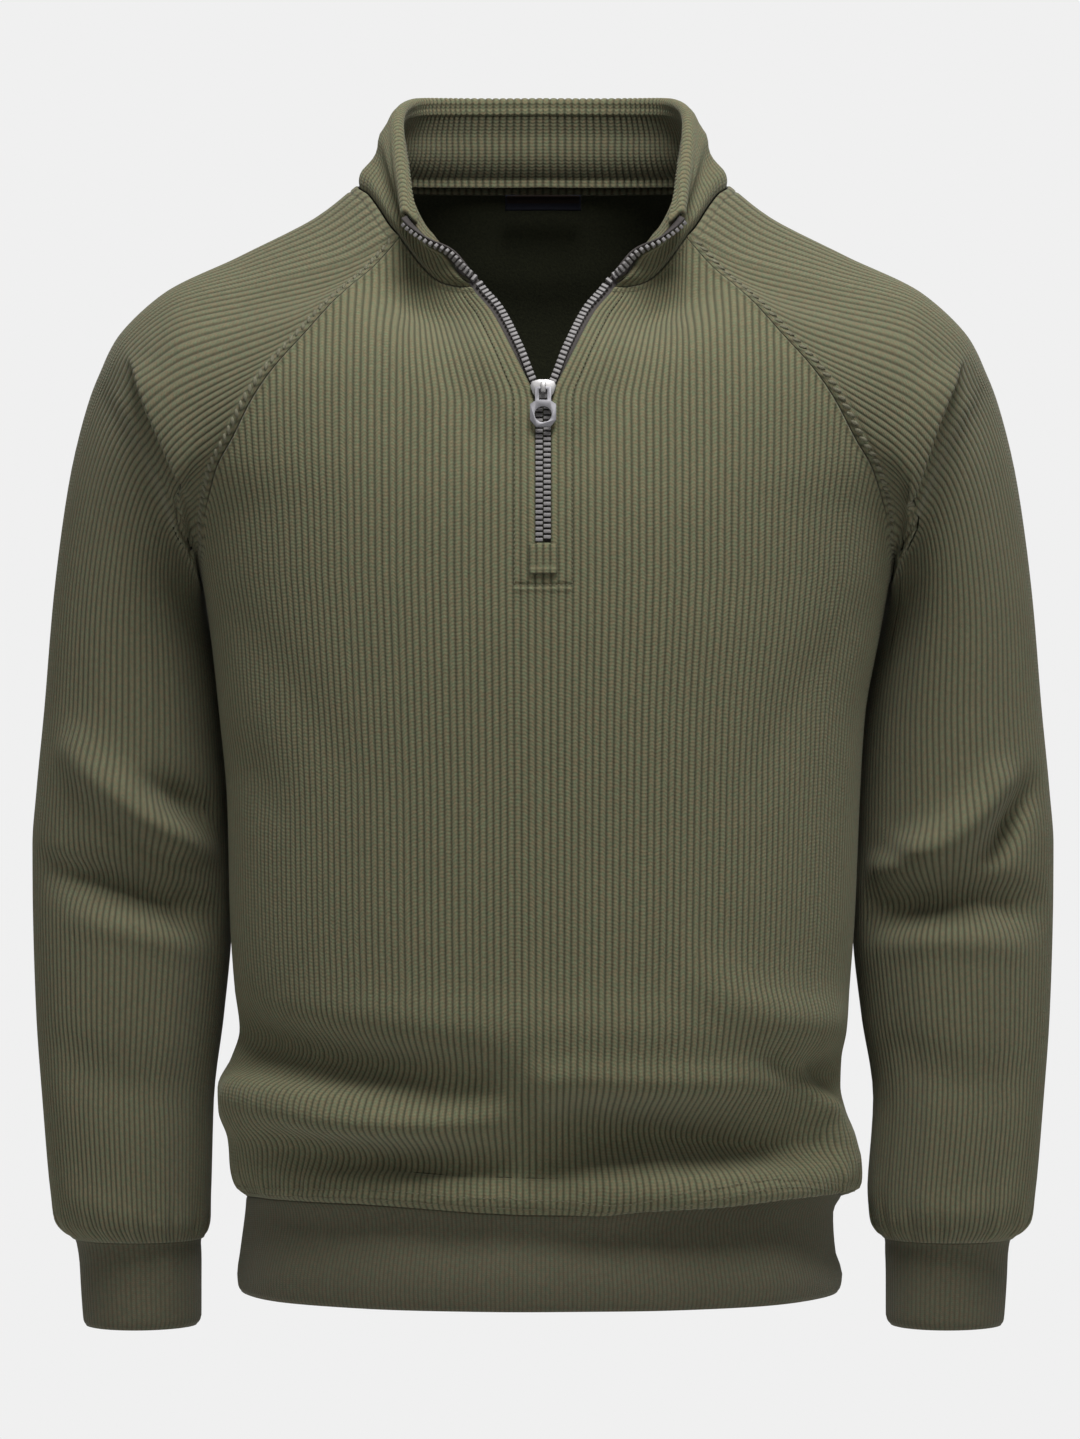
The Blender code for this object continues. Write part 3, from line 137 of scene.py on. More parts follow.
class Table:
    """Design values in named columns, read smoothly between its rows by the first column."""

    def __init__(self, columns: Sequence[str], rows: Sequence[Sequence[float]]) -> None:
        """Keep the rows as named columns.

        Args:
            columns: The columns' names, the key first.
            rows: The values, sorted by the key.
        """
        self.columns = dict(zip(columns, np.array(rows, dtype=float).T))
        self.keys = self.columns[columns[0]]

    def at(self, column: str, key: Any) -> np.ndarray:
        """Read a column without overshoot between its rows.

        Args:
            column: The column's name.
            key: One key or an array of them.

        Returns:
            The column's value at each key.
        """
        keys, values = self.keys, self.columns[column]
        steps = np.diff(keys)
        slopes = np.diff(values) / steps
        product = slopes[:-1] * slopes[1:]
        total = slopes[:-1] + slopes[1:]
        inner = np.where(product > 0, 2 * product / np.where(total == 0, 1, total), 0.0)
        tangents = np.concatenate((slopes[:1], inner, slopes[-1:]))
        key = np.clip(np.asarray(key, dtype=float), keys[0], keys[-1])
        k = np.clip(np.searchsorted(keys, key, side="right") - 1, 0, len(steps) - 1)
        t = (key - keys[k]) / steps[k]
        return ((2 * t**3 - 3 * t**2 + 1) * values[k] + (t**3 - 2 * t**2 + t) * steps[k] * tangents[k]
                + (3 * t**2 - 2 * t**3) * values[k + 1] + (t**3 - t**2) * steps[k] * tangents[k + 1])


# The body's horizontal sections, as in the solids.
TORSO = Table(("z", "right", "left", "front", "back"), (
    (-0.6630, 0.1812, 0.1778, 0.1255, 0.1180),
    (-0.6520, 0.1824, 0.1794, 0.1262, 0.1185),
    (-0.6380, 0.1806, 0.1752, 0.1268, 0.1190),
    (-0.6160, 0.1780, 0.1738, 0.1275, 0.1195),
    (-0.6055, 0.1776, 0.1790, 0.1285, 0.1200),
    (-0.5990, 0.1830, 0.1890, 0.1360, 0.1265),
    (-0.5860, 0.1866, 0.1896, 0.1415, 0.1310),
    (-0.5700, 0.1885, 0.1868, 0.1420, 0.1320),
    (-0.5540, 0.1938, 0.1806, 0.1425, 0.1315),
    (-0.5400, 0.1942, 0.1776, 0.1435, 0.1305),
    (-0.5230, 0.1862, 0.1782, 0.1450, 0.1290),
    (-0.5060, 0.1812, 0.1812, 0.1470, 0.1275),
    (-0.4800, 0.1842, 0.1830, 0.1490, 0.1255),
    (-0.4400, 0.1868, 0.1860, 0.1500, 0.1230),
    (-0.3700, 0.1885, 0.1890, 0.1505, 0.1225),
    (-0.3200, 0.1930, 0.1920, 0.1515, 0.1250),
    (-0.2700, 0.1985, 0.2010, 0.1520, 0.1295),
    (-0.2380, 0.2035, 0.2070, 0.1510, 0.1320),
    (-0.2000, 0.2130, 0.2160, 0.1478, 0.1325),
    (-0.1650, 0.2350, 0.2360, 0.1403, 0.1305),
    (-0.1200, 0.2520, 0.2520, 0.1265, 0.1255),
    (-0.0800, 0.2380, 0.2380, 0.1040, 0.1175),
    (-0.0630, 0.2170, 0.2170, 0.0912, 0.1125),
    (-0.0330, 0.1600, 0.1600, 0.0655, 0.1010),
    (-0.0060, 0.1200, 0.1200, 0.0410, 0.0905),
    (0.0000, 0.1100, 0.1100, 0.0350, 0.0885),
    (0.0100, 0.0990, 0.0990, 0.0300, 0.0830),
))
HEM_WAVE = Table(("across", "rise"), (
    (-0.240, 0.0000), (-0.190, 0.0030), (-0.110, 0.0045), (0.000, 0.0000), (0.030, 0.0000),
    (0.080, 0.0085), (0.130, 0.0118), (0.190, 0.0060), (0.240, 0.0000)))
RAGLAN = {
    Panel.FRONT: Table(("z", "angle"), (
        (-0.2380, 90.0), (-0.2300, 81.0), (-0.2180, 73.5), (-0.2020, 68.0), (-0.1800, 56.5),
        (-0.1570, 46.3), (-0.1380, 40.5), (-0.1160, 35.1), (-0.0900, 30.0), (-0.0700, 27.6),
        (-0.0360, 27.4))),
    Panel.BACK: Table(("z", "angle"), (
        (-0.2380, 90.0), (-0.2290, 80.0), (-0.2100, 70.0), (-0.1800, 55.0), (-0.1400, 41.5),
        (-0.1000, 34.5), (-0.0600, 34.0), (-0.0330, 41.0), (-0.0150, 47.0), (0.0020, 54.2))),
}
NECK_FRONT = Table(("x", "z"), (
    (0.000, -0.0668), (0.030, -0.0665), (0.042, -0.0655), (0.050, -0.0632), (0.062, -0.0575),
    (0.0715, -0.0505), (0.0855, -0.0360)))
NECK_SHOULDER = Table(("turn", "angle", "z"), (
    (0.00, 27.4, -0.0360), (0.26, 44.6, -0.0155), (0.39, 60.0, -0.0060), (0.56, 90.0, 0.0000),
    (0.82, 110.0, 0.0015), (1.00, 125.8, 0.0020)))
NECK_BACK = Table(("x", "z"), ((0.000, 0.0035), (0.050, 0.0030), (0.092, 0.0020)))
OPENING = Table(("z", "spread"), (
    (-0.3000, 0.0000), (-0.1390, 0.0000), (-0.1310, 0.0017), (-0.1262, 0.0042), (-0.1050, 0.0150),
    (-0.0807, 0.0273), (-0.0655, 0.0395), (-0.0600, 0.0430)))
SLEEVE = Table(("ring", "outer_x", "outer_z", "inner_right", "inner_left", "inner_z", "front", "back",
                "set_back", "lean", "seam", "seam_low"), (
    (0, 0.1100, 0.0000, 0.2035, 0.2070, -0.2380, 0.1050, 0.1080, 0.000, 0.000, 1.00, 1.00),
    (1, 0.1338, -0.0186, 0.2046, 0.2081, -0.2325, 0.1035, 0.1080, 0.000, 0.000, 0.88, 0.97),
    (2, 0.1800, -0.0420, 0.2064, 0.2099, -0.2325, 0.1000, 0.1050, 0.002, 0.001, 0.50, 0.90),
    (3, 0.2270, -0.0650, 0.2070, 0.2105, -0.2370, 0.0950, 0.0980, 0.004, 0.005, 0.08, 0.80),
    (4, 0.2570, -0.0940, 0.2070, 0.2105, -0.2415, 0.0900, 0.0925, 0.007, 0.009, 0.00, 0.65),
    (5, 0.2660, -0.1120, 0.2062, 0.2097, -0.2455, 0.0860, 0.0890, 0.010, 0.009, 0.00, 0.50),
    (6, 0.2720, -0.1260, 0.2054, 0.2089, -0.2500, 0.0765, 0.0820, 0.014, 0.006, 0.00, 0.36),
    (7, 0.2840, -0.1700, 0.2030, 0.2060, -0.2620, 0.0735, 0.0775, 0.022, 0.002, 0.00, 0.20),
    (8, 0.2950, -0.2450, 0.1980, 0.1999, -0.2850, 0.0720, 0.0745, 0.028, 0.000, 0.00, 0.08),
    (9, 0.3012, -0.3150, 0.1937, 0.1932, -0.3300, 0.0690, 0.0710, 0.030, 0.000, 0.00, 0.00),
    (10, 0.3058, -0.3620, 0.1908, 0.1910, -0.3640, 0.0670, 0.0680, 0.030, 0.000, 0.00, 0.00),
    (11, 0.3084, -0.3960, 0.1898, 0.1899, -0.3960, 0.0655, 0.0655, 0.030, 0.000, 0.00, 0.00),
    (12, 0.3083, -0.4240, 0.1890, 0.1884, -0.4240, 0.0640, 0.0635, 0.030, 0.000, 0.00, 0.00),
    (13, 0.3078, -0.4520, 0.1895, 0.1885, -0.4520, 0.0630, 0.0620, 0.030, 0.000, 0.00, 0.00),
    (14, 0.3060, -0.5000, 0.1939, 0.1935, -0.5000, 0.0590, 0.0580, 0.029, 0.000, 0.00, 0.00),
    (15, 0.3022, -0.5500, 0.1998, 0.2005, -0.5500, 0.0540, 0.0530, 0.027, 0.000, 0.00, 0.00),
    (16, 0.2975, -0.6030, 0.2013, 0.1970, -0.6030, 0.0500, 0.0490, 0.026, 0.000, 0.00, 0.00),
    (17, 0.2940, -0.6220, 0.2024, 0.1990, -0.6220, 0.0478, 0.0468, 0.025, 0.000, 0.00, 0.00),
    (18, 0.2845, CUFF_SEAM_Z, 0.2050, 0.2055, CUFF_SEAM_Z, 0.0400, 0.0390, 0.025, 0.000, 0.00, 0.00),
))
CUFF = Table(("z", "outer_x", "inner_x", "depth"), (
    (-0.6870, 0.2778, 0.2090, 0.0330), (-0.6800, 0.2786, 0.2072, 0.0345),
    (-0.6600, 0.2800, 0.2072, 0.0350), (-0.6450, 0.2808, 0.2070, 0.0355),
    (CUFF_SEAM_Z, 0.2845, 0.2052, 0.0395)))
COLLAR_TOP = Table(("turn", "x", "y", "z"), (
    (0.000, 0.0845, -0.0860, -0.0250), (0.100, 0.0860, -0.0680, -0.0055),
    (0.205, 0.0868, -0.0490, 0.0140), (0.330, 0.0868, -0.0250, 0.0345),
    (0.455, 0.0855, 0.0000, 0.0480), (0.550, 0.0825, 0.0220, 0.0545),
    (0.652, 0.0765, 0.0420, 0.0585), (0.800, 0.0540, 0.0640, 0.0610),
    (0.900, 0.0280, 0.0740, 0.0620), (1.000, 0.0000, 0.0775, 0.0625)))
COLLAR_BULGE = Table(("height", "out"), (
    (0.0, 0.0), (0.15, 0.0022), (0.35, -0.0008), (0.62, 0.0024), (0.85, 0.0018), (1.0, 0.0)))
COLLAR_ROLL_FROM = 0.93
ROLL_RADIUS = 0.0030
ROLL_RETURN = 0.0080
FACING_DEPTH = 0.0074        # from the band, and at its edge by the zip
FACING_EDGE = 0.0038
FACING_LIFT = 0.0022
TAPE_SHOWN = Table(("z", "shown"), (
    (-0.2300, 0.0004), (-0.1400, 0.0004), (-0.1262, 0.0010), (-0.1050, 0.0030), (-0.0800, 0.0034),
    (0.1000, 0.0034)))

# The cloth above the waistband hangs in towards the seam, on the front and back.
SAG = Table(("z", "in"), (
    (-0.7000, 0.0000), (-0.6055, 0.0000), (-0.6000, 0.0062), (-0.5900, 0.0120), (-0.5700, 0.0110),
    (-0.5450, 0.0068), (-0.5200, -0.0008), (-0.5000, -0.0040), (-0.4700, 0.0000), (0.0500, 0.0000)))

# Creases: a soft trough (minus) or ridge (plus) along a line bent through three points, as seen
# from the front or back. reach is how far it spreads to each side. The front's first
# four rows and first pair, the back's first four, each sleeve's first three and the first two of
# its back follow the solids' folds, most of them deeper. The others are in the looks alone.
FOLD_COLUMNS = ("x0", "z0", "x1", "z1", "x2", "z2", "rise", "reach")
FRONT_FOLDS = (
    (-0.1780, -0.5090, -0.0950, -0.5250, -0.0231, -0.5335, -0.0190, 0.0190),
    (-0.1793, -0.5440, -0.0950, -0.5640, -0.0017, -0.5405, 0.0140, 0.0150),
    (0.0050, -0.5560, 0.0800, -0.5600, 0.1587, -0.5716, -0.0200, 0.0180),
    (0.0327, -0.5900, 0.1100, -0.5920, 0.1788, -0.5876, 0.0110, 0.0130),
    (-0.1800, -0.5080, -0.1300, -0.5170, -0.0800, -0.5200, -0.0045, 0.0085),
    (-0.1780, -0.5330, -0.1200, -0.5420, -0.0500, -0.5290, 0.0040, 0.0080),
    (-0.1550, -0.5680, -0.0950, -0.5800, -0.0300, -0.5740, -0.0135, 0.0120),
    (-0.0250, -0.5850, 0.0150, -0.5760, 0.0500, -0.5700, -0.0080, 0.0120),
    (-0.0200, -0.5240, 0.0500, -0.5350, 0.1350, -0.5320, 0.0095, 0.0140),
    (0.1380, -0.5180, 0.1600, -0.5330, 0.1800, -0.5320, -0.0120, 0.0105),
    (0.1440, -0.5160, 0.1680, -0.5480, 0.1850, -0.5760, 0.0085, 0.0075),
    (0.0600, -0.5560, 0.1150, -0.5650, 0.1650, -0.5640, -0.0045, 0.0080),
    (0.0900, -0.4700, 0.1300, -0.4950, 0.1750, -0.4980, 0.0060, 0.0140),
    (-0.1750, -0.3400, -0.1680, -0.3520, -0.1600, -0.3700, -0.0024, 0.0120),
    (-0.1800, -0.2600, -0.1500, -0.2900, -0.1150, -0.3500, -0.0018, 0.0140),
    (0.1820, -0.2600, 0.1500, -0.3000, 0.1200, -0.3600, -0.0018, 0.0140),
)
FRONT_PAIRS = (                  # hollows under the collar and creases beside the zip, on both sides
    (-0.0920, -0.0640, -0.0680, -0.0730, -0.0470, -0.0860, -0.0190, 0.0190),
    (-0.0650, -0.1000, -0.0480, -0.1250, -0.0350, -0.1600, -0.0026, 0.0110),
    (-0.0500, -0.0830, -0.0330, -0.1050, -0.0170, -0.1500, 0.0030, 0.0070),
)
BACK_FOLDS = (
    (-0.1600, -0.5300, -0.0700, -0.5450, 0.0200, -0.5350, -0.0055, 0.0140),
    (-0.0200, -0.5650, 0.0700, -0.5750, 0.1700, -0.5600, 0.0050, 0.0140),
    (-0.1750, -0.4500, -0.1200, -0.4900, -0.0400, -0.5000, -0.0040, 0.0160),
    (0.0300, -0.4950, 0.1100, -0.5050, 0.1720, -0.4850, -0.0045, 0.0160),
    (-0.1600, -0.5650, -0.1000, -0.5780, -0.0400, -0.5720, 0.0025, 0.0090),
    (0.0400, -0.5350, 0.1000, -0.5420, 0.1500, -0.5300, -0.0025, 0.0080),
    (-0.1500, -0.2500, -0.1100, -0.3000, -0.0700, -0.3500, -0.0022, 0.0150),
    (0.1550, -0.2500, 0.1150, -0.3050, 0.0800, -0.3700, -0.0022, 0.0150),
    (-0.0600, -0.0400, 0.0000, -0.0550, 0.0600, -0.0400, -0.0015, 0.0110),
)
SLEEVE_FOLDS = {
    Side.RIGHT: (
        (-0.2778, -0.3400, -0.2330, -0.3880, -0.1876, -0.4010, 0.0125, 0.0125),
        (-0.2300, -0.3640, -0.2050, -0.3760, -0.1876, -0.3846, -0.0110, 0.0115),
        (-0.2914, -0.4066, -0.2440, -0.4230, -0.1917, -0.4415, -0.0170, 0.0130),
        (-0.2980, -0.3950, -0.2860, -0.4020, -0.2700, -0.4060, 0.0045, 0.0080),
        (-0.2500, -0.3900, -0.2250, -0.4060, -0.1950, -0.4130, -0.0018, 0.0060),
        (-0.2750, -0.4400, -0.2400, -0.4480, -0.2050, -0.4560, 0.0022, 0.0080),
        (-0.2850, -0.5200, -0.2550, -0.5400, -0.2150, -0.5450, -0.0040, 0.0140),
        (-0.2860, -0.6020, -0.2700, -0.6120, -0.2450, -0.6150, 0.0020, 0.0080),
    ),
    Side.LEFT: (
        (0.2940, -0.3600, 0.2770, -0.3800, 0.2632, -0.4022, -0.0100, 0.0100),
        (0.1887, -0.4059, 0.2350, -0.4100, 0.2711, -0.3602, 0.0125, 0.0125),
        (0.1858, -0.4388, 0.2400, -0.4200, 0.2923, -0.4341, -0.0165, 0.0130),
        (0.2930, -0.3640, 0.2820, -0.3850, 0.2680, -0.4030, -0.0050, 0.0048),
        (0.1860, -0.3960, 0.2050, -0.3990, 0.2250, -0.4060, -0.0050, 0.0075),
        (0.2000, -0.4560, 0.2400, -0.4480, 0.2800, -0.4560, 0.0022, 0.0080),
        (0.2150, -0.5200, 0.2450, -0.5420, 0.2850, -0.5350, -0.0040, 0.0140),
        (0.2250, -0.6100, 0.2500, -0.6160, 0.2800, -0.6080, 0.0020, 0.0080),
    ),
}
SHOULDER_CREASE = {
    Side.RIGHT: Table(("z", "x"), (
        (-0.2400, 0.1920), (-0.2209, 0.1970), (-0.1912, 0.2080), (-0.1644, 0.2200), (-0.1405, 0.2310),
        (-0.1180, 0.2400), (-0.0900, 0.2540))),
    Side.LEFT: Table(("z", "x"), (
        (-0.2400, 0.2010), (-0.2267, 0.2054), (-0.2070, 0.2113), (-0.1802, 0.2194), (-0.1592, 0.2264),
        (-0.1406, 0.2334), (-0.1155, 0.2450), (-0.0900, 0.2580))),
}
SLEEVE_BACK_FOLDS = (
    (-0.2900, -0.4150, -0.2450, -0.4000, -0.1950, -0.4050, -0.0050, 0.0130),
    (-0.2850, -0.4500, -0.2450, -0.4420, -0.2000, -0.4480, 0.0040, 0.0130),
    (-0.2950, -0.3700, -0.2600, -0.3650, -0.2100, -0.3800, -0.0030, 0.0090),
    (-0.2700, -0.2300, -0.2500, -0.2700, -0.2250, -0.2900, -0.0022, 0.0110),
)


# ---------------------------------------------------------------- arrays
def unit(vectors: Grid) -> Grid:
    """The same directions with length one."""
    return vectors / np.maximum(np.linalg.norm(vectors, axis=-1, keepdims=True), 1e-12)


def smooth_step(values: Any, low: float, high: float) -> np.ndarray:
    """0 below low, 1 above high, and a soft S between."""
    t = np.clip((np.asarray(values, dtype=float) - low) / (high - low), 0.0, 1.0)
    return t * t * (3 - 2 * t)


def bump(values: Any, centre: float, width: float) -> np.ndarray:
    """A soft hill of height one round a value."""
    return np.exp(-((np.asarray(values, dtype=float) - centre) / width) ** 2)


def stepped(start: float, *spans: tuple[float, int]) -> np.ndarray:
    """Values from a start through spans, each an end and how many evenly spaced values reach it."""
    values = [start]
    for end, count in spans:
        values.extend(np.linspace(values[-1], end, count)[1:])
    return np.array(values)


def without(vectors: Grid, axis: int = 2) -> Grid:
    """Unit directions with one axis taken out, by default the upward one."""
    kept = np.array(vectors)
    kept[..., axis] = 0.0
    return unit(kept)


def soften(values: Grid, steps: int) -> Grid:
    """Rows of values evened out with their neighbours.

    Args:
        values: One value or vector per row.
        steps: How many times each row takes on part of its neighbours.

    Returns:
        The evened rows.
    """
    for _ in range(steps):
        around = np.concatenate((values[:1], values, values[-1:]))
        values = (around[:-2] + 2 * values + around[2:]) / 4
    return values


def run_length(points: Grid) -> np.ndarray:
    """Length from the first row to each row of points."""
    steps = np.linalg.norm(np.diff(points, axis=0), axis=-1)
    return np.concatenate((np.zeros((1,) + steps.shape[1:]), np.cumsum(steps, axis=0)))


def resample(points: Grid, at: np.ndarray) -> Grid:
    """A line's columns read at lengths along it.

    Args:
        points: Rows whose first three columns are positions.
        at: Lengths from the start.

    Returns:
        The rows at those lengths.
    """
    along = run_length(points[:, :3])
    return np.stack([np.interp(at, along, points[:, k]) for k in range(points.shape[1])], axis=-1)


def closing(rows: Grid) -> Grid:
    """Rows of columns with the first column again at the end."""
    return np.concatenate((rows, rows[:, :1]), axis=1)


def loop_length(points: Grid) -> np.ndarray:
    """Length from the first point of a closed loop to each point, and at last round it."""
    return run_length(np.concatenate((points, points[:1])))


def loop_tangent(points: Grid) -> Grid:
    """Direction along a closed loop at each point."""
    return unit(np.roll(points, -1, axis=0) - np.roll(points, 1, axis=0))


def grid_normals(grid: Grid, closed: bool) -> Grid:
    """Directions across a grid of points, by its neighbours.

    Args:
        grid: Rows of columns of points.
        closed: Whether the columns run round a tube.

    Returns:
        One unit vector a point.
    """
    along = np.gradient(grid, axis=0)
    if closed:
        across = np.roll(grid, -1, axis=1) - np.roll(grid, 1, axis=1)
    else:
        across = np.gradient(grid, axis=1)
    return unit(np.cross(along, across))


# ---------------------------------------------------------------- the garment's form
def quarter_sections(half: np.ndarray, depth: np.ndarray, samples: int = 121) -> tuple[Grid, Grid, Grid]:
    """Arc length, x and depth along quarter sections from the centre line to the side."""
    turn = np.linspace(0.0, math.pi / 2, samples)
    power = 2.0 / SQUARENESS
    x = half[:, None] * np.sin(turn)[None, :] ** power
    y = depth[:, None] * np.clip(np.cos(turn), 0.0, 1.0)[None, :] ** power
    steps = np.hypot(np.diff(x, axis=1), np.diff(y, axis=1))
    return np.concatenate((np.zeros((len(x), 1)), np.cumsum(steps, axis=1)), axis=1), x, y


def read_rows(arc: Grid, values: Grid, target: np.ndarray) -> np.ndarray:
    """For each row, the value at the target arc length."""
    k = np.clip((arc <= target[:, None]).sum(axis=1) - 1, 0, arc.shape[1] - 2)
    rows = np.arange(len(arc))
    low, high = arc[rows, k], arc[rows, k + 1]
    t = np.clip((target - low) / (high - low), 0.0, 1.0)
    return values[rows, k] + t * (values[rows, k + 1] - values[rows, k])


def half_width(side: Any, z: Any) -> np.ndarray:
    """Half width on the wearer's right (side -1) or left (side +1)."""
    return np.where(np.asarray(side) < 0, TORSO.at("right", z), TORSO.at("left", z))


def form_normal(x: Grid, y: Grid, z: Grid, panel: Panel) -> Grid:
    """Outward direction of the body's form at points that lie on it."""
    side, step, depth = np.sign(x), 0.0015, panel.value
    a, b = half_width(side, z), TORSO.at(depth, z)
    da = (half_width(side, z + step) - half_width(side, z - step)) / (2 * step)
    db = (TORSO.at(depth, z + step) - TORSO.at(depth, z - step)) / (2 * step)
    u, v = np.abs(x) / a, np.abs(y) / b
    return unit(np.stack((np.sign(x) * u ** (SQUARENESS - 1) / a, np.sign(y) * v ** (SQUARENESS - 1) / b,
                          -(u ** SQUARENESS) * da / a - (v ** SQUARENESS) * db / b), axis=-1))


def hem_rise(x: Grid, z: Grid) -> np.ndarray:
    """How far the hem seam's wave lifts the cloth at this height."""
    above = np.clip((z - HEM_SEAM_Z) / WAVE_FADE, 0.0, 1.0)
    below = np.clip((z - HEM_Z) / (HEM_SEAM_Z - HEM_Z), 0.0, 1.0)
    return HEM_WAVE.at("rise", x) * below * (1 - above) ** 2


def reach(side: Any, z: Any, panel: Panel) -> np.ndarray:
    """Arc length from the centre line to the side seam, held at its underarm value above it."""
    z = np.minimum(z, UNDERARM_Z)
    arc, _, _ = quarter_sections(half_width(side, z), TORSO.at(panel.value, z))
    return arc[:, -1]


def hem_height(shares: Grid, panel: Panel) -> np.ndarray:
    """Height of the hem seam at each wale."""
    if panel is Panel.BACK:
        return np.full_like(shares, HEM_SEAM_Z)
    girth = reach(np.sign(shares), np.full_like(shares, HEM_SEAM_Z), panel)
    return HEM_SEAM_Z + HEM_WAVE.at("rise", shares * girth)


def mirrored(fold: Sequence[float]) -> tuple[float, ...]:
    """The same crease on the other side."""
    return tuple(-value if name[0] == "x" else value for name, value in zip(FOLD_COLUMNS, fold))


def fold_rise(points: Grid, folds: Sequence[Sequence[float]]) -> np.ndarray:
    """Sum of the soft troughs and ridges at points seen from the front or back.

    Args:
        points: Rows of positions.
        folds: The creases, as FOLD_COLUMNS says.

    Returns:
        How far each point moves out.
    """
    total = np.zeros(len(points))
    line = np.linspace(0.0, 1.0, 25)
    weights = ((1 - line) ** 2, 2 * line * (1 - line), line ** 2)
    fade = np.sin(math.pi * (0.12 + 0.76 * line)) ** 0.7
    for values in folds:
        fold = dict(zip(FOLD_COLUMNS, values))
        px = sum(weight * fold[name] for weight, name in zip(weights, ("x0", "x1", "x2")))
        pz = sum(weight * fold[name] for weight, name in zip(weights, ("z0", "z1", "z2")))
        far = 3.2 * fold["reach"]
        near = ((points[:, 0] > px.min() - far) & (points[:, 0] < px.max() + far)
                & (points[:, 2] > pz.min() - far) & (points[:, 2] < pz.max() + far))
        gap = np.hypot(points[near, None, 0] - px[None, :], points[near, None, 2] - pz[None, :])
        total[near] += fold["rise"] * (fade[None, :] * np.exp(-(gap / fold["reach"]) ** 2)).max(axis=1)
    return total


def panel_point(share: Any, z: Any, panel: Panel, folded: bool = True) -> tuple[Grid, Grid]:
    """Point and outward direction on a body panel.

    Args:
        share: From -1 at the wearer's right side seam to +1 at the left one, one wale a value.
        z: Heights.
        panel: Front or back.
        folded: Whether the creases are on it.

    Returns:
        Points and unit directions.
    """
    share, z = np.broadcast_arrays(np.asarray(share, float), np.asarray(z, float))
    shape = share.shape
    points, normals = [], []
    for start in range(0, share.size, CHUNK):
        part = slice(start, start + CHUNK)
        point, normal = _panel_part(share.ravel()[part], z.ravel()[part], panel, folded)
        points.append(point)
        normals.append(normal)
    return np.concatenate(points).reshape(shape + (3,)), np.concatenate(normals).reshape(shape + (3,))


def _panel_part(share: Grid, z: Grid, panel: Panel, folded: bool) -> tuple[Grid, Grid]:
    """The same as panel_point for a flat list of points."""
    side = np.where(share < 0, -1.0, 1.0)
    distance = np.abs(share) * reach(side, z, panel)
    form_z = z
    if panel is Panel.FRONT:
        distance = distance + OPENING.at("spread", z) * np.clip(1 - distance / SLIT_SPREAD, 0.0, 1.0)
        form_z = z - hem_rise(side * distance, z)
    arc, xs, ys = quarter_sections(half_width(side, form_z), TORSO.at(panel.value, form_z))
    distance = np.minimum(distance, arc[:, -1])
    x = side * read_rows(arc, xs, distance)
    y = read_rows(arc, ys, distance) * panel.sign
    normal = form_normal(x, y, form_z, panel)
    point = np.stack((x, y, z), axis=-1)
    if folded:
        folds = BACK_FOLDS
        if panel is Panel.FRONT:
            folds = (*FRONT_FOLDS, *FRONT_PAIRS, *map(mirrored, FRONT_PAIRS))
        facing = np.clip(np.abs(normal[:, 1]) * 1.6 - 0.6, 0.0, 1.0)
        at_side = smooth_step(np.abs(normal[:, 1]), 0.02, 0.45)
        moved = fold_rise(point, folds) * at_side - SAG.at("in", form_z) * facing
        point = point + normal * moved[:, None]
    return point, normal


def raglan_height(shares: Grid, side: float, panel: Panel) -> tuple[np.ndarray, float]:
    """Height where wales end at the raglan seam, and the share of its neck end."""
    table = RAGLAN[panel]
    z = np.linspace(table.keys[0], table.keys[-1], 240)
    sides = np.full_like(z, side)
    arc, xs, _ = quarter_sections(half_width(sides, z), TORSO.at(panel.value, z))
    x = half_width(sides, z) * np.sin(np.radians(table.at("angle", z))) ** (2.0 / SQUARENESS)
    distance = np.array([np.interp(value, *row) for value, row in zip(x, zip(xs, arc))])
    share = distance / reach(sides[:1], z[:1], panel)[0]
    order = np.argsort(share)
    return np.interp(shares, share[order], z[order]), float(share.min())


@dataclass
class PanelEdge:
    """Where the wales of one half of a panel begin, turn the neck corner and end."""

    panel: Panel
    side: Side
    girth: float = field(init=False)
    first: float = field(init=False)
    corner: float = field(init=False)

    def __post_init__(self) -> None:
        """Find the half girth and the shares of the slit edge and the neck corner."""
        side = self.side.value
        self.girth = float(reach(np.array([side]), np.array([UNDERARM_Z]), self.panel)[0])
        _, self.corner = raglan_height(np.array([0.5]), side, self.panel)
        self.first = 0.0
        if self.panel is Panel.FRONT:
            distance = self.corner * self.girth
            spread = float(OPENING.at("spread", NECK_CORNER_Z))
            if distance < SLIT_SPREAD:
                distance = (distance - spread) / (1 - spread / SLIT_SPREAD)
            self.first = SLIT_EDGE / self.girth
            self.corner = distance / self.girth

    def top(self, shares: Grid) -> np.ndarray:
        """Height where wales at these shares (unsigned) end."""
        seam, _ = raglan_height(shares, self.side.value, self.panel)
        distance = shares * self.girth
        if self.panel is Panel.BACK:
            neck = NECK_BACK.at("z", distance)
        else:
            spread = float(OPENING.at("spread", NECK_SPREAD_Z))
            neck = NECK_FRONT.at("z", distance + spread * np.clip(1 - distance / SLIT_SPREAD, 0.0, 1.0))
        return np.where(shares <= self.corner, neck, seam)


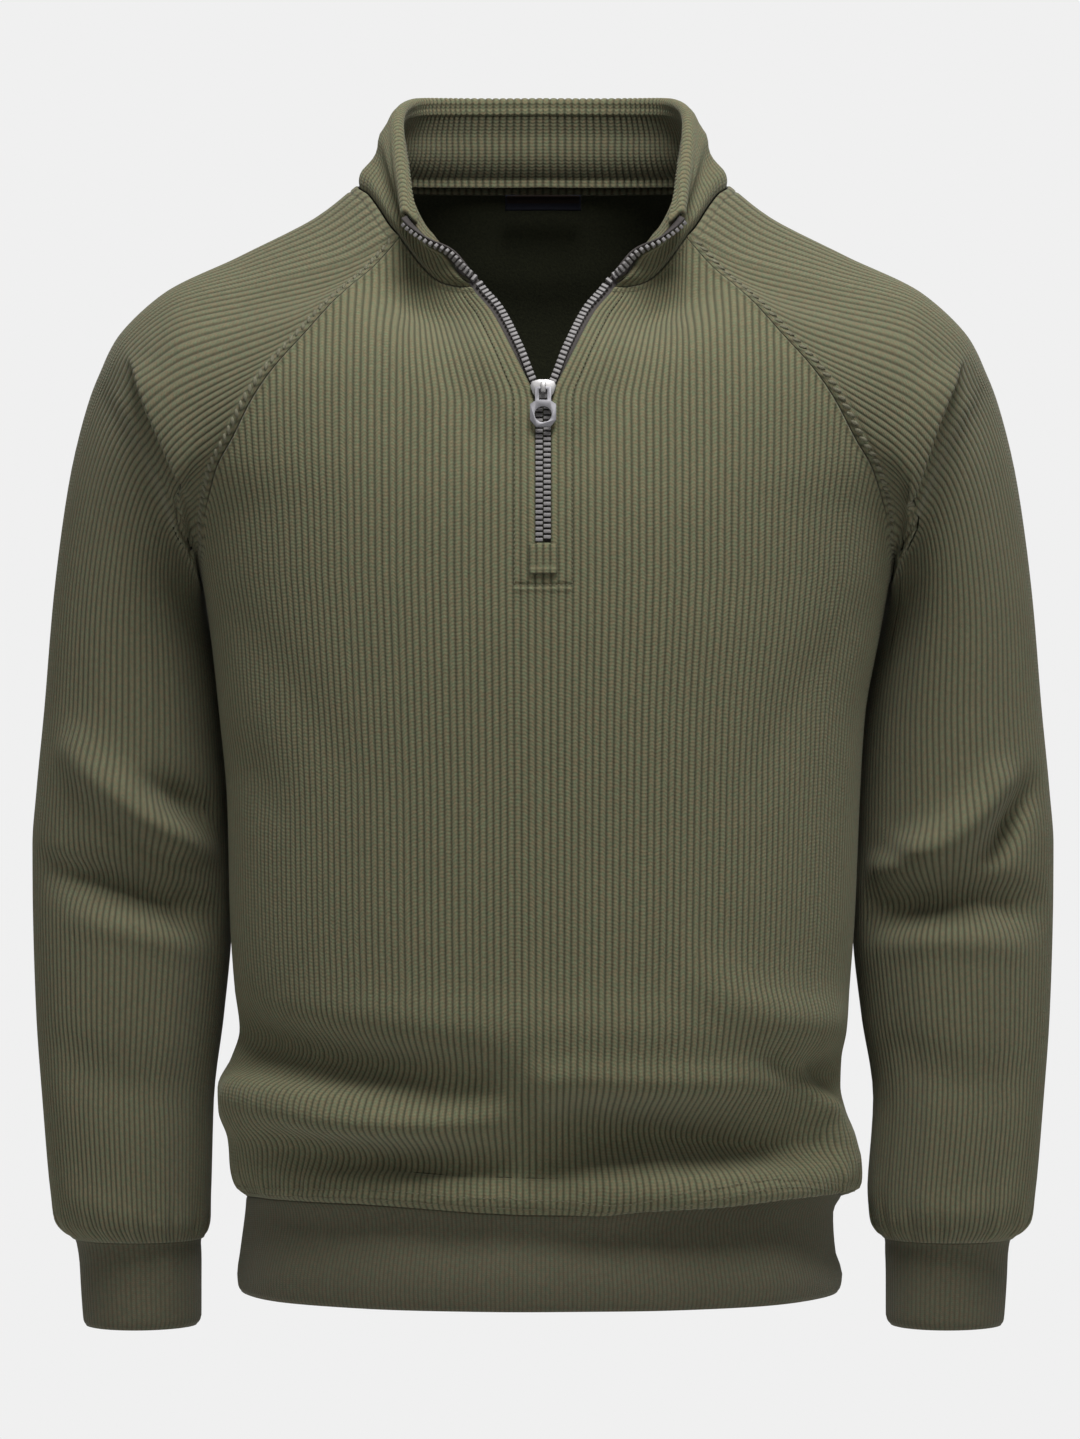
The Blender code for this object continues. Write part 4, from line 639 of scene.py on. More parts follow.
def shoulder_neck(side: float, turn: Grid) -> tuple[Grid, Grid]:
    """The sleeve's own piece of the neck seam, from the front to the back."""
    z = NECK_SHOULDER.at("z", turn)
    angle = np.radians(NECK_SHOULDER.at("angle", turn))
    sides = np.full_like(z, side)
    front = angle <= math.pi / 2
    b = np.where(front, TORSO.at("front", z), TORSO.at("back", z))
    power = 2.0 / SQUARENESS
    x = side * half_width(sides, z) * np.sin(angle) ** power
    y = b * np.abs(np.cos(angle)) ** power * np.where(front, -1.0, 1.0)
    normal = np.where(front[:, None], form_normal(x, np.minimum(y, -1e-6), z, Panel.FRONT),
                      form_normal(x, np.maximum(y, 1e-6), z, Panel.BACK))
    return np.stack((x, y, z), axis=-1), normal


# ---------------------------------------------------------------- ribs
@dataclass
class Wales:
    """Columns across a ribbed knit: how many ribs in, where each column lies, and how high."""

    ribs: int
    places: np.ndarray = field(init=False)
    levels: np.ndarray = field(init=False)

    def __post_init__(self) -> None:
        """Place five columns on each rib, and one more that ends the last."""
        phases = np.array(RIB_PHASES)
        self.places = np.append((np.arange(self.ribs)[:, None] + phases).ravel(), self.ribs)
        self.levels = np.append(np.tile(RIB_LEVELS, self.ribs), RIB_LEVELS[0]) - 0.5


# ---------------------------------------------------------------- walls
def object_from(form: bmesh.types.BMesh, name: str, materials: Sequence[bpy.types.Material],
                smooth: bool = True) -> bpy.types.Object:
    """Turn a bmesh into a linked object and free it.

    Args:
        form: The finished bmesh.
        name: The object's name.
        materials: One for each slot.
        smooth: Whether it is shaded smooth.

    Returns:
        The object, at the origin.
    """
    mesh = bpy.data.meshes.new(name)
    form.to_mesh(mesh)
    form.free()
    if smooth:
        mesh.shade_smooth()
    return linked(mesh, materials)


def linked(mesh: bpy.types.Mesh, materials: Sequence[bpy.types.Material]) -> bpy.types.Object:
    """An object of the mesh's name at the origin, with one material for each slot."""
    for material in materials:
        mesh.materials.append(material)
    made = bpy.data.objects.new(mesh.name, mesh)
    bpy.context.scene.collection.objects.link(made)
    return made


def enlist(made: bpy.types.Object, slot: str, *nodes: str, body: str = "garment") -> None:
    """Tell the frame what a piece moves with and which solids it stands for.

    Args:
        made: The piece.
        slot: The record's material slot; not used.
        nodes: The solids it replaces.
        body: The body that carries it.
    """
    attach(made, body)
    if nodes:
        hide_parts(*nodes)


@dataclass
class Wall:
    """A cloth wall: a fine ribbed face over a plain inside with fewer rows and columns."""

    name: str
    points: Grid                     # rows of columns on the middle of the ribs
    normals: Grid
    rise: Grid                       # how far the outer face stands above each point
    across: np.ndarray               # metres of cloth across, a column
    thickness: float = WALL
    closed: bool = False             # the last column closes on the first
    slit: Optional[tuple[int, int, int]] = None     # row, left column, right column
    column_step: int = 10
    row_step: int = 2

    def build(self, outer: bpy.types.Material, inner: bpy.types.Material) -> bpy.types.Object:
        """Make the wall.

        Args:
            outer: The ribbed face's material.
            inner: The inside's.

        Returns:
            One closed object.
        """
        rows, columns = self.points.shape[:2]
        must_rows, must_columns = {0, rows - 1}, {0, columns - 1}
        if self.slit:
            must_rows.add(self.slit[0])
            must_columns.update(self.slit[1:])
        kept_rows = sorted(must_rows | set(range(0, rows - 2, self.row_step)))
        kept_columns = sorted(must_columns | set(range(0, columns - 3, self.column_step)))
        out = self.points + self.normals * self.rise[..., None]
        inside = (self.points - self.normals * self.thickness)[np.ix_(kept_rows, kept_columns)]
        down = run_length(self.points)
        form = bmesh.new()
        layer = form.loops.layers.uv.new("Cloth")
        flat = np.stack((np.broadcast_to(self.across, down.shape), down), axis=-1)
        top = self._lay(form, layer, out, flat, 0, range(rows), range(columns))
        low = self._lay(form, layer, inside, flat[np.ix_(kept_rows, kept_columns)], 1, kept_rows,
                        kept_columns)
        if self.closed:
            targets = {row[-1]: row[0] for grid in (top, low) for row in grid}
            bmesh.ops.weld_verts(form, targetmap=targets)
            top = [row[:-1] + row[:1] for row in top]
            low = [row[:-1] + row[:1] for row in low]
        self._rims(form, top, low, kept_rows, kept_columns)
        loose = [vertex for vertex in form.verts if not vertex.link_faces]
        bmesh.ops.delete(form, geom=loose, context="VERTS")
        bmesh.ops.recalc_face_normals(form, faces=form.faces)
        made = object_from(form, f"{self.name}_cloth", (outer, inner))
        LOG.info("%s: %d rows, %d columns, %d faces", self.name, rows, columns, len(made.data.polygons))
        return made

    def _lay(self, form: bmesh.types.BMesh, layer: Any, points: Grid, flat: Grid, slot: int,
             row_names: Sequence[int], column_names: Sequence[int]) -> list[list[Any]]:
        """Lay a grid of faces over points, but for the slit, and return its vertices row by row."""
        rows, columns = points.shape[:2]
        made = bmesh.ops.create_grid(form, x_segments=columns - 1, y_segments=rows - 1, size=0.5)["verts"]
        grid: list[list[Any]] = [[None] * columns for _ in range(rows)]
        place = {}
        for vertex in made:
            i, j = round((vertex.co.y + 0.5) * (rows - 1)), round((vertex.co.x + 0.5) * (columns - 1))
            grid[i][j] = vertex
            place[vertex] = (i, j)
            vertex.co = points[i, j]
        cut = []
        for face in {face for vertex in made for face in vertex.link_faces}:
            places = [place[loop.vert] for loop in face.loops]
            for loop, (i, j) in zip(face.loops, places):
                loop[layer].uv = flat[i, j]
            face.material_index = slot
            if self.slit:
                row = row_names[min(i for i, _ in places)]
                column = column_names[min(j for _, j in places)]
                if row >= self.slit[0] and self.slit[1] <= column < self.slit[2]:
                    cut.append(face)
        bmesh.ops.delete(form, geom=cut, context="FACES_KEEP_BOUNDARY")
        return grid

    def _rims(self, form: bmesh.types.BMesh, top: list[list[Any]], low: list[list[Any]],
              kept_rows: Sequence[int], kept_columns: Sequence[int]) -> None:
        """Close the wall along its edges."""
        rows, columns = list(range(len(top))), list(range(len(top[0])))
        at, at_in = kept_rows.index, kept_columns.index
        self._join(form, top[0], low[0], columns, kept_columns)
        if self.slit:
            row, left, right = self.slit
            self._join(form, top[-1][:left + 1], low[-1][:at_in(left) + 1], columns[:left + 1],
                       kept_columns[:at_in(left) + 1])
            self._join(form, top[-1][right:], low[-1][at_in(right):], columns[right:],
                       kept_columns[at_in(right):])
            self._join(form, top[row][left:right + 1], low[at(row)][at_in(left):at_in(right) + 1],
                       columns[left:right + 1], kept_columns[at_in(left):at_in(right) + 1])
            for column in (left, right):
                self._join(form, [line[column] for line in top[row:]],
                           [line[at_in(column)] for line in low[at(row):]], rows[row:], kept_rows[at(row):])
        else:
            self._join(form, top[-1], low[-1], columns, kept_columns)
        if not self.closed:
            for edge in (0, -1):
                self._join(form, [line[edge] for line in top], [line[edge] for line in low], rows, kept_rows)

    @staticmethod
    def _join(form: bmesh.types.BMesh, first: list[Any], second: list[Any], first_at: Sequence[int],
              second_at: Sequence[int]) -> None:
        """Triangles between a fine edge and a coarse one whose points share their numbering."""
        i = j = 0
        while i < len(first) - 1 or j < len(second) - 1:
            next_first = first_at[i] + first_at[i + 1] if i < len(first) - 1 else math.inf
            next_second = second_at[j] + second_at[j + 1] if j < len(second) - 1 else math.inf
            if next_first <= next_second:
                face = form.faces.new((first[i], first[i + 1], second[j]))
                i += 1
            else:
                face = form.faces.new((first[i], second[j + 1], second[j]))
                j += 1
            face.smooth = True


# ---------------------------------------------------------------- finishes
class Value:
    """A shader value whose arithmetic makes Math nodes."""

    def __init__(self, shader: "Shader", socket: Any) -> None:
        """Keep the socket and the shader it belongs to."""
        self.shader = shader
        self.socket = socket

    def math(self, operation: str, *others: Any, first: bool = True) -> "Value":
        """One Math node.

        Args:
            operation: Its name.
            others: The further values.
            first: Whether this value comes first.

        Returns:
            The result.
        """
        values = (self, *others) if first else (*others, self)
        made = self.shader.node("ShaderNodeMath", {"operation": operation}, dict(enumerate(values)))
        return Value(self.shader, made.outputs[0])

    __add__ = partialmethod(math, "ADD")
    __sub__ = partialmethod(math, "SUBTRACT")
    __rsub__ = partialmethod(math, "SUBTRACT", first=False)
    __mul__ = partialmethod(math, "MULTIPLY")
    __truediv__ = partialmethod(math, "DIVIDE")

    def between(self, low: float, high: float) -> "Value":
        """0 at low, 1 at high, with a soft S between."""
        made = self.shader.node("ShaderNodeMapRange", {"interpolation_type": "SMOOTHSTEP"},
                                {"Value": self, "From Min": low, "From Max": high})
        return Value(self.shader, made.outputs["Result"])


class Shader:
    """A Principled material and the nodes that feed it."""

    def __init__(self, name: str, **constants: Any) -> None:
        """Make the material and set the shader's own constants.

        Args:
            name: The material's name.
            constants: Values by socket name, underscores for spaces.
        """
        self.material = bpy.data.materials.new(name)
        self.material.use_nodes = True
        self.tree = self.material.node_tree
        self.principled = self.tree.nodes["Principled BSDF"]
        for socket, value in constants.items():
            self._set(self.principled.inputs[socket.replace("_", " ")], value)

    def _set(self, socket: Any, value: Any) -> None:
        """Link a value to a socket, or write it there."""
        if isinstance(value, Value):
            self.tree.links.new(value.socket, socket)
        elif isinstance(value, (tuple, list)) and socket.type == "RGBA" and len(value) == 3:
            socket.default_value = (*value, 1.0)
        else:
            socket.default_value = value

    def node(self, kind: str, settings: dict[str, Any], values: dict[Any, Any]) -> Any:
        """Any node.

        Args:
            kind: Its type.
            settings: Its properties.
            values: Socket values or links, by name or number.

        Returns:
            The node.
        """
        made = self.tree.nodes.new(kind)
        for name, setting in settings.items():
            setattr(made, name, setting)
        for name, value in values.items():
            self._set(made.inputs[name], value)
        return made

    def feed(self, socket: str, value: Value) -> None:
        """Drive one of the shader's sockets."""
        self.tree.links.new(value.socket, self.principled.inputs[socket])

    def cloth(self) -> tuple[Value, Value]:
        """Metres across and along the cloth."""
        flat = self.node("ShaderNodeUVMap", {"uv_map": "Cloth"}, {}).outputs["UV"]
        parts = self.node("ShaderNodeSeparateXYZ", {}, {"Vector": Value(self, flat)})
        return Value(self, parts.outputs["X"]), Value(self, parts.outputs["Y"])

    def place(self) -> Value:
        """Object coordinates."""
        return Value(self, self.node("ShaderNodeTexCoord", {}, {}).outputs["Object"])

    def noise(self, vector: Value, scale: float, detail: float = 2.0, roughness: float = 0.5) -> Value:
        """Noise about one half at a vector.

        Args:
            vector: Where it is read.
            scale: Grains a metre.
            detail: Octaves.
            roughness: Weight of the fine octaves.

        Returns:
            The noise.
        """
        made = self.node("ShaderNodeTexNoise", {}, {"Vector": vector, "Scale": scale, "Detail": detail,
                                                    "Roughness": roughness})
        return Value(self, made.outputs["Fac"])

    def blend(self, factor: Value, first: Any, second: Any) -> Value:
        """Mix two colours."""
        made = self.node("ShaderNodeMix", {"data_type": "RGBA"}, {0: factor, 6: first, 7: second})
        return Value(self, made.outputs[2])

    def tint(self, tone: Value, colour: Any) -> None:
        """Colour the surface by a tone about one and twice its colour, so the mix stays in range."""
        self.feed("Base Color", self.blend(tone * 0.5, (0.0, 0.0, 0.0), colour))

    def raise_by(self, height: Value, distance: float) -> None:
        """Bump the surface by a height from 0 to 1 that stands for a distance in metres."""
        made = self.node("ShaderNodeBump", {}, {"Strength": 1.0, "Distance": distance, "Height": height})
        self.feed("Normal", Value(self, made.outputs["Normal"]))


@dataclass(frozen=True)
class Knit:
    """A ribbed knit: yarn colour, painted shade in its grooves, and its stitches."""

    name: str
    colour: tuple[float, float, float]
    # share of the colour left deepest in the grooves, as painted shade
    groove_shade: float = 0.46
    pitch: float = RIB_PITCH
    course: float = 0.0021
    relief: float = 0.00022
    mottle: float = 0.34

    def material(self) -> bpy.types.Material:
        """Make the material."""
        shader = Shader(self.name, Roughness=0.9, Sheen_Weight=0.12, Sheen_Roughness=0.5,
                        Specular_IOR_Level=0.25)
        across, along = shader.cloth()
        phase = (across / self.pitch).math("FRACT")
        off = (phase * 2.0 - 1.0).math("ABSOLUTE")
        loops = ((along / self.course + off * 0.45) * math.tau).math("SINE") * 0.5 + 0.5
        place = shader.place()
        grain = shader.noise(place, 1500.0, 3.0, 0.65)
        patch = shader.noise(place, 380.0, 2.0)
        wide = shader.noise(place, 30.0, 2.0)
        light = (grain - 0.5) * (self.mottle * 2.2) + (patch - 0.5) * self.mottle + (wide - 0.5) * 0.10 + 1.0
        # Painted shade: the colour darkens towards the groove between two ribs, over the shade their relief
        # casts.
        depth = (off + (loops - 0.5) * 0.16 + (grain - 0.5) * 0.25).between(0.34, 1.00)
        painted_shade = 1.0 - depth * (1.0 - self.groove_shade)
        tone = light * painted_shade * (loops * 0.14 + 0.93)
        red, green, blue = (2 * part for part in self.colour)
        heather = shader.noise(place, 620.0, 3.0, 0.6).between(0.38, 0.62)
        yarn = shader.blend(heather, (red * 1.10, green * 0.96, blue * 0.94),
                            (red * 0.90, green * 1.04, blue * 1.02))
        shader.tint(tone, yarn)
        shader.raise_by(loops * 0.6 + grain * 0.55, self.relief)
        return shader.material


@dataclass(frozen=True)
class Fleece:
    """The brushed inside of the knit."""

    name: str
    colour: tuple[float, float, float]
    grain: float = 700.0
    relief: float = 0.0004

    def material(self) -> bpy.types.Material:
        """Make the material."""
        shader = Shader(self.name, Roughness=0.95, Sheen_Weight=0.04, Sheen_Roughness=0.6,
                        Specular_IOR_Level=0.2)
        place = shader.place()
        tufts = shader.noise(place, self.grain, 4.0, 0.7)
        tone = (tufts - 0.5) * 1.8 + 1.0
        shader.tint(tone, tuple(2 * part for part in self.colour))
        shader.raise_by(tufts, self.relief)
        return shader.material


@dataclass(frozen=True)
class Weave:
    """Woven tape or thread: fine crossing yarns."""

    name: str
    colour: tuple[float, float, float]
    pitch: float = 0.0007
    roughness: float = 0.75
    gloss: float = 0.5

    def material(self) -> bpy.types.Material:
        """Make the material."""
        shader = Shader(self.name, Roughness=self.roughness, Sheen_Weight=0.02,
                        Specular_IOR_Level=self.gloss)
        across, along = shader.cloth()
        warp = (across * (math.tau / self.pitch)).math("SINE")
        weft = (along * (math.tau / self.pitch)).math("SINE")
        yarn = warp * weft * 0.5 + 0.5
        grain = shader.noise(shader.place(), 900.0, 2.0)
        tone = yarn * 0.35 + (grain - 0.5) * 0.3 + 0.82
        shader.tint(tone, tuple(2 * part for part in self.colour))
        shader.raise_by(yarn, 0.00012)
        return shader.material


@dataclass(frozen=True)
class Metal:
    """Nickel-plated metal with light wear."""

    name: str
    colour: tuple[float, float, float]
    roughness: float
    metallic: float = 0.6

    def material(self) -> bpy.types.Material:
        """Make the material."""
        shader = Shader(self.name, Base_Color=self.colour, Metallic=self.metallic)
        wear = shader.noise(shader.place(), 420.0, 3.0)
        shader.feed("Roughness", (wear - 0.5) * 0.25 + self.roughness)
        return shader.material


class Finishes:
    """Every finish of the garment, made once."""

    def __init__(self) -> None:
        """Make the materials."""
        self.knit = Knit("ribbed_knit", (0.172, 0.166, 0.096)).material()
        self.sleeve = Knit("sleeve_knit", (0.169, 0.162, 0.097), groove_shade=0.50).material()
        # Fine rib for the waistband and cuffs: the yarn's colour, made darker than the body knit's as
        # painted shade of the cloth that hangs over the bands.
        self.band = Knit("fine_rib", (0.110, 0.103, 0.065), groove_shade=0.72, pitch=FINE_PITCH, course=0.0012,
                         relief=0.00012, mottle=0.30).material()
        # The inside's colour: partly the fleece's own, partly painted shade, far darker than the knit to
        # stand for the shade inside the garment.
        self.fleece = Fleece("fleece_inside", (0.0205, 0.0222, 0.0095)).material()
        self.facing = Knit("facing_knit", (0.150, 0.143, 0.084), groove_shade=0.40).material()
        self.tape = Weave("zip_tape", (0.064, 0.055, 0.052)).material()
        self.metal = Metal("zip_metal", (0.300, 0.292, 0.290), 0.44).material()
        self.tab = Metal("tab_metal", (0.215, 0.210, 0.224), 0.46).material()
        self.teeth = Metal("zip_teeth", (0.240, 0.229, 0.228), 0.62, 0.15).material()
        self.thread = Weave("thread", (0.180, 0.170, 0.105), pitch=0.0004).material()
        self.stitch = Weave("band_stitch", (0.215, 0.206, 0.135), pitch=0.0006).material()
        self.label = Weave("neck_label", (0.0080, 0.0040, 0.0022), pitch=0.0004, gloss=0.12).material()
        self.label_edge = Weave("label_edge", (0.0050, 0.0056, 0.0100), pitch=0.0004, gloss=0.12).material()


# ---------------------------------------------------------------- sewing
class Sewing:
    """Many like stitches gathered into one mesh from arrays."""

    def __init__(self, name: str, finish: bpy.types.Material, template: bmesh.types.BMesh) -> None:
        """Keep one stitch's shape.

        Args:
            name: The joined piece's name.
            finish: Its material.
            template: One stitch at the origin, along X, with its back to -Y; freed here.
        """
        self.name, self.finish = name, finish
        self.shape = np.array([vertex.co[:] for vertex in template.verts])
        self.faces = [[vertex.index for vertex in face.verts] for face in template.faces]
        template.free()
        self.parts: list[Grid] = []

    @staticmethod
    def bead(length: float, width: float, height: float, tilt: float = 0.0) -> bmesh.types.BMesh:
        """A rounded stitch, tilted in its plane."""
        form = bmesh.new()
        bmesh.ops.create_icosphere(form, subdivisions=1, radius=1.0)
        bmesh.ops.scale(form, verts=form.verts, vec=(length / 2, height, width / 2))
        bmesh.ops.rotate(form, verts=form.verts, matrix=Matrix.Rotation(tilt, 3, "Y"))
        form.verts.index_update()
        return form

    def place(self, points: Grid, along: Grid, out: Grid) -> None:
        """Put a stitch at each point.

        Args:
            points: Where.
            along: Each stitch's length direction.
            out: Away from the cloth.
        """
        x = unit(along - out * (along * out).sum(axis=-1, keepdims=True))
        z = np.cross(x, out)
        frame = np.stack((x, out, z), axis=1)
        self.parts.append((self.shape[None] @ frame + points[:, None]).reshape(-1, 3))

    def row(self, line: Grid, out: Grid, pitch: float, lift: float) -> None:
        """Sew along a line.

        Args:
            line: Points along it.
            out: Directions away from the cloth.
            pitch: Step from stitch to stitch.
            lift: How far above the line.
        """
        whole = resample(np.concatenate((line, out, unit(np.gradient(line, axis=0))), axis=1),
                         np.arange(pitch / 2, run_length(line)[-1], pitch))
        normal = unit(whole[:, 3:6])
        self.place(whole[:, :3] + normal * lift, whole[:, 6:9], normal)

    def build(self) -> bpy.types.Object:
        """Join the stitches."""
        points = np.concatenate(self.parts)
        count, size = len(points) // len(self.shape), len(self.shape)
        mesh = bpy.data.meshes.new(self.name)
        faces = [[vertex + size * k for vertex in face] for k in range(count) for face in self.faces]
        mesh.from_pydata(points.tolist(), [], faces)
        mesh.uv_layers.new(name="Cloth")
        mesh.shade_smooth()
        LOG.info("%s: %d in all", self.name, count)
        return linked(mesh, (self.finish,))


# ---------------------------------------------------------------- body
@dataclass
class BodyPanel:
    """Front or back panel: ribs, creases, a ridge along its seams and a smooth edge by the zip."""

    panel: Panel
    seam_rows: tuple[float, ...] = (0.0048, 0.0036, 0.0027, 0.0020, 0.0014, 0.0009, 0.0004, 0.0)
    topstitch: float = 0.0120        # from the slit's edge
    neck_stitch: float = 0.0030      # below the neck seam
    placket_end: float = -0.2440     # the stitched line below the patch
    tacks: tuple[float, float] = (-0.0270, 0.0230)   # bars beside the zip, metres of cloth across
    edges: dict[Side, PanelEdge] = field(init=False)

    def __post_init__(self) -> None:
        """Measure both halves."""
        self.edges = {side: PanelEdge(self.panel, side) for side in Side}

    def columns(self) -> tuple[Grid, Grid, Grid, Grid]:
        """Signed shares, rib heights, metres across and each wale's top, from right to left."""
        halves = []
        for side in Side:
            edge = self.edges[side]
            wales = Wales(round((1 - edge.first) * edge.girth / RIB_PITCH))
            shares = edge.first + (1 - edge.first) * wales.places / wales.ribs
            places, levels = wales.places, wales.levels
            if self.panel is Panel.FRONT:
                middle = Wales(1)
                shares = np.concatenate((edge.first * middle.places[:-1], shares))
                places = np.concatenate((middle.places[:-1], places + 1))
                levels = np.concatenate((middle.levels[:-1], levels))
            rows = np.stack((side.value * shares, levels, side.value * places * RIB_PITCH, edge.top(shares)))
            halves.append(rows[:, ::-1][:, :-1] if side is Side.RIGHT else rows)
        return tuple(np.concatenate(halves, axis=1))

    def grid(self) -> dict[str, Grid]:
        """Everything about the panel's grid, row by row from the hem."""
        shares, levels, across, tops = self.columns()
        girth = np.where(shares < 0, self.edges[Side.RIGHT].girth, self.edges[Side.LEFT].girth)
        slope = np.gradient(tops, shares * girth)
        slope = np.convolve(np.pad(slope, 6, mode="edge"), np.ones(13) / 13, mode="valid")
        lean = np.clip(1 / np.sqrt(1 + slope ** 2), 0.24, 1.0)
        middle = SLIT_END_Z - 0.050 * shares ** 2
        hem = hem_height(shares, self.panel)
        low = np.concatenate(([0.0, 0.0008, 0.0020, 0.0038, 0.0060], np.arange(0.009, 0.128, 0.0034),
                              np.linspace(0.138, 0.3560, 17), np.linspace(0.3580, 0.3650, 8),
                              (0.3700, 0.3760, 0.3815, 0.3856))) / 0.3856
        below = tops - self.seam_rows[0] / lean
        rows = [hem + (middle - hem) * part for part in low]
        rows += [middle + (below - middle) * part for part in np.linspace(0.0, 1.0, 28)[1:]]
        rows += [tops - gap / lean for gap in self.seam_rows[1:]]
        z = np.array(rows)
        points, normals = panel_point(shares[None, :], z, self.panel)
        normals[0] = without(normals[0])
        for edge in (0, -1):
            points[:, edge, 1] = self.panel.sign * SEAM_GAP / 2
            normals[:, edge] = without(normals[:, edge], axis=1)
        return {"points": points, "normals": normals, "z": z, "shares": shares, "levels": levels,
                "across": across, "gap": (tops - z) * lean, "above_hem": z - hem, "girth": girth,
                "slit_row": np.array(len(low) - 1)}

    def rise(self, grid: dict[str, Grid]) -> Grid:
        """How far the outer face stands above the middle of the ribs."""
        gap, above, across = grid["gap"], grid["above_hem"], grid["across"]
        ribs = smooth_step(gap, 0.0022, 0.0046) * smooth_step(above, 0.0006, 0.0045)
        shape = 0.00085 * bump(gap, 0.0015, 0.0010) - 0.0005 * bump(gap, 0.0, 0.0006)
        shape = shape + 0.0006 * bump(above, 0.0016, 0.0012) - 0.0005 * bump(above, 0.0062, 0.0012)
        gather = (np.sin(across * 262 + 1.4 * np.sin(across * 41)) + 0.6 * np.sin(across * 431 + 2.0)
                  + 0.5 * np.sin(across * 97 + 0.7))
        shape = shape + (0.00062 * gather[None, :] * bump(above, 0.0100, 0.0130)
                         * smooth_step(above, 0, 0.006))
        if self.panel is Panel.FRONT:
            aside = np.abs(grid["shares"]) * grid["girth"] - SLIT_EDGE
            high = smooth_step(grid["z"], SLIT_END_Z - 0.004, SLIT_END_Z + 0.001)
            ribs = ribs * (1 - high * (1 - smooth_step(aside, 0.0046, 0.0064))[None, :])
            edge = 0.00020 - 0.0007 * bump(aside, -0.0004, 0.0009) - 0.00045 * bump(aside, 0.0053, 0.0006)
            near = (aside > -0.001) & (aside < 0.0075)
            shape = shape + high * np.where(near, edge, 0.0)[None, :]
            sewn = smooth_step(grid["z"], self.placket_end - 0.001, self.placket_end + 0.001)
            shape = shape - 0.00050 * sewn * bump(aside, self.topstitch, 0.0009)[None, :]
            beyond = self.placket_end - 0.0022
            level = bump(grid["z"], self.placket_end, 0.0010) - 0.7 * bump(grid["z"], beyond, 0.0012)
            shape = shape - 0.0012 * level * (aside < self.topstitch + 0.0005)[None, :]
        return grid["levels"][None, :] * RIB_HEIGHT * ribs + shape

    def build(self, finishes: Finishes) -> None:
        """Make the panel."""
        grid = self.grid()
        slit = None
        if self.panel is Panel.FRONT:
            first = np.array([self.edges[side].first * side.value for side in Side])
            left, right = (int(np.abs(grid["shares"] - value).argmin()) for value in first)
            slit = (int(grid["slit_row"]), left, right)
        wall = Wall(self.panel.value, grid["points"], grid["normals"], self.rise(grid), grid["across"],
                    slit=slit, column_step=5, row_step=1)
        made = wall.build(finishes.knit, finishes.fleece)
        enlist(made, "ribbed_knit", self.panel.value)

    def sew(self, thread: Sewing) -> None:
        """Topstitch beside the zip and under the neck seam."""
        for side in Side:
            edge = self.edges[side]
            shares = np.linspace(edge.first if self.panel is Panel.FRONT else 0.0, edge.corner, 90)
            z = edge.top(shares) - self.neck_stitch
            points, out = panel_point(side.value * shares, z, self.panel)
            thread.row(points, out, STITCH_LENGTH, lift=0.0004)
            if self.panel is Panel.FRONT:
                share = edge.first + self.topstitch / edge.girth
                z = np.linspace(self.placket_end, float(edge.top(np.array([share]))[0]) - 0.004, 160)
                points, out = panel_point(np.full_like(z, side.value * share), z, self.panel)
                thread.row(points, out, STITCH_LENGTH, lift=0.0002)
        shares = np.linspace(-0.995, 0.995, 400)
        for above in (0.0030, 0.0062):
            points, out = panel_point(shares, hem_height(shares, self.panel) + above, self.panel)
            thread.row(points, out, STITCH_LENGTH, lift=0.0006)
        if self.panel is Panel.FRONT:
            for x in self.tacks:
                shares = np.linspace(x - 0.0016, x + 0.0016, 9) / edge.girth
                points, out = panel_point(shares, edge.top(np.abs(shares)) - 0.0012, self.panel)
                thread.row(points, out, 0.0009, lift=0.0008)
            shares = np.linspace(-share, share, 30)
            points, out = panel_point(shares, np.full_like(shares, self.placket_end), self.panel)
            thread.row(points, out, STITCH_LENGTH * 0.8, lift=0.0004)


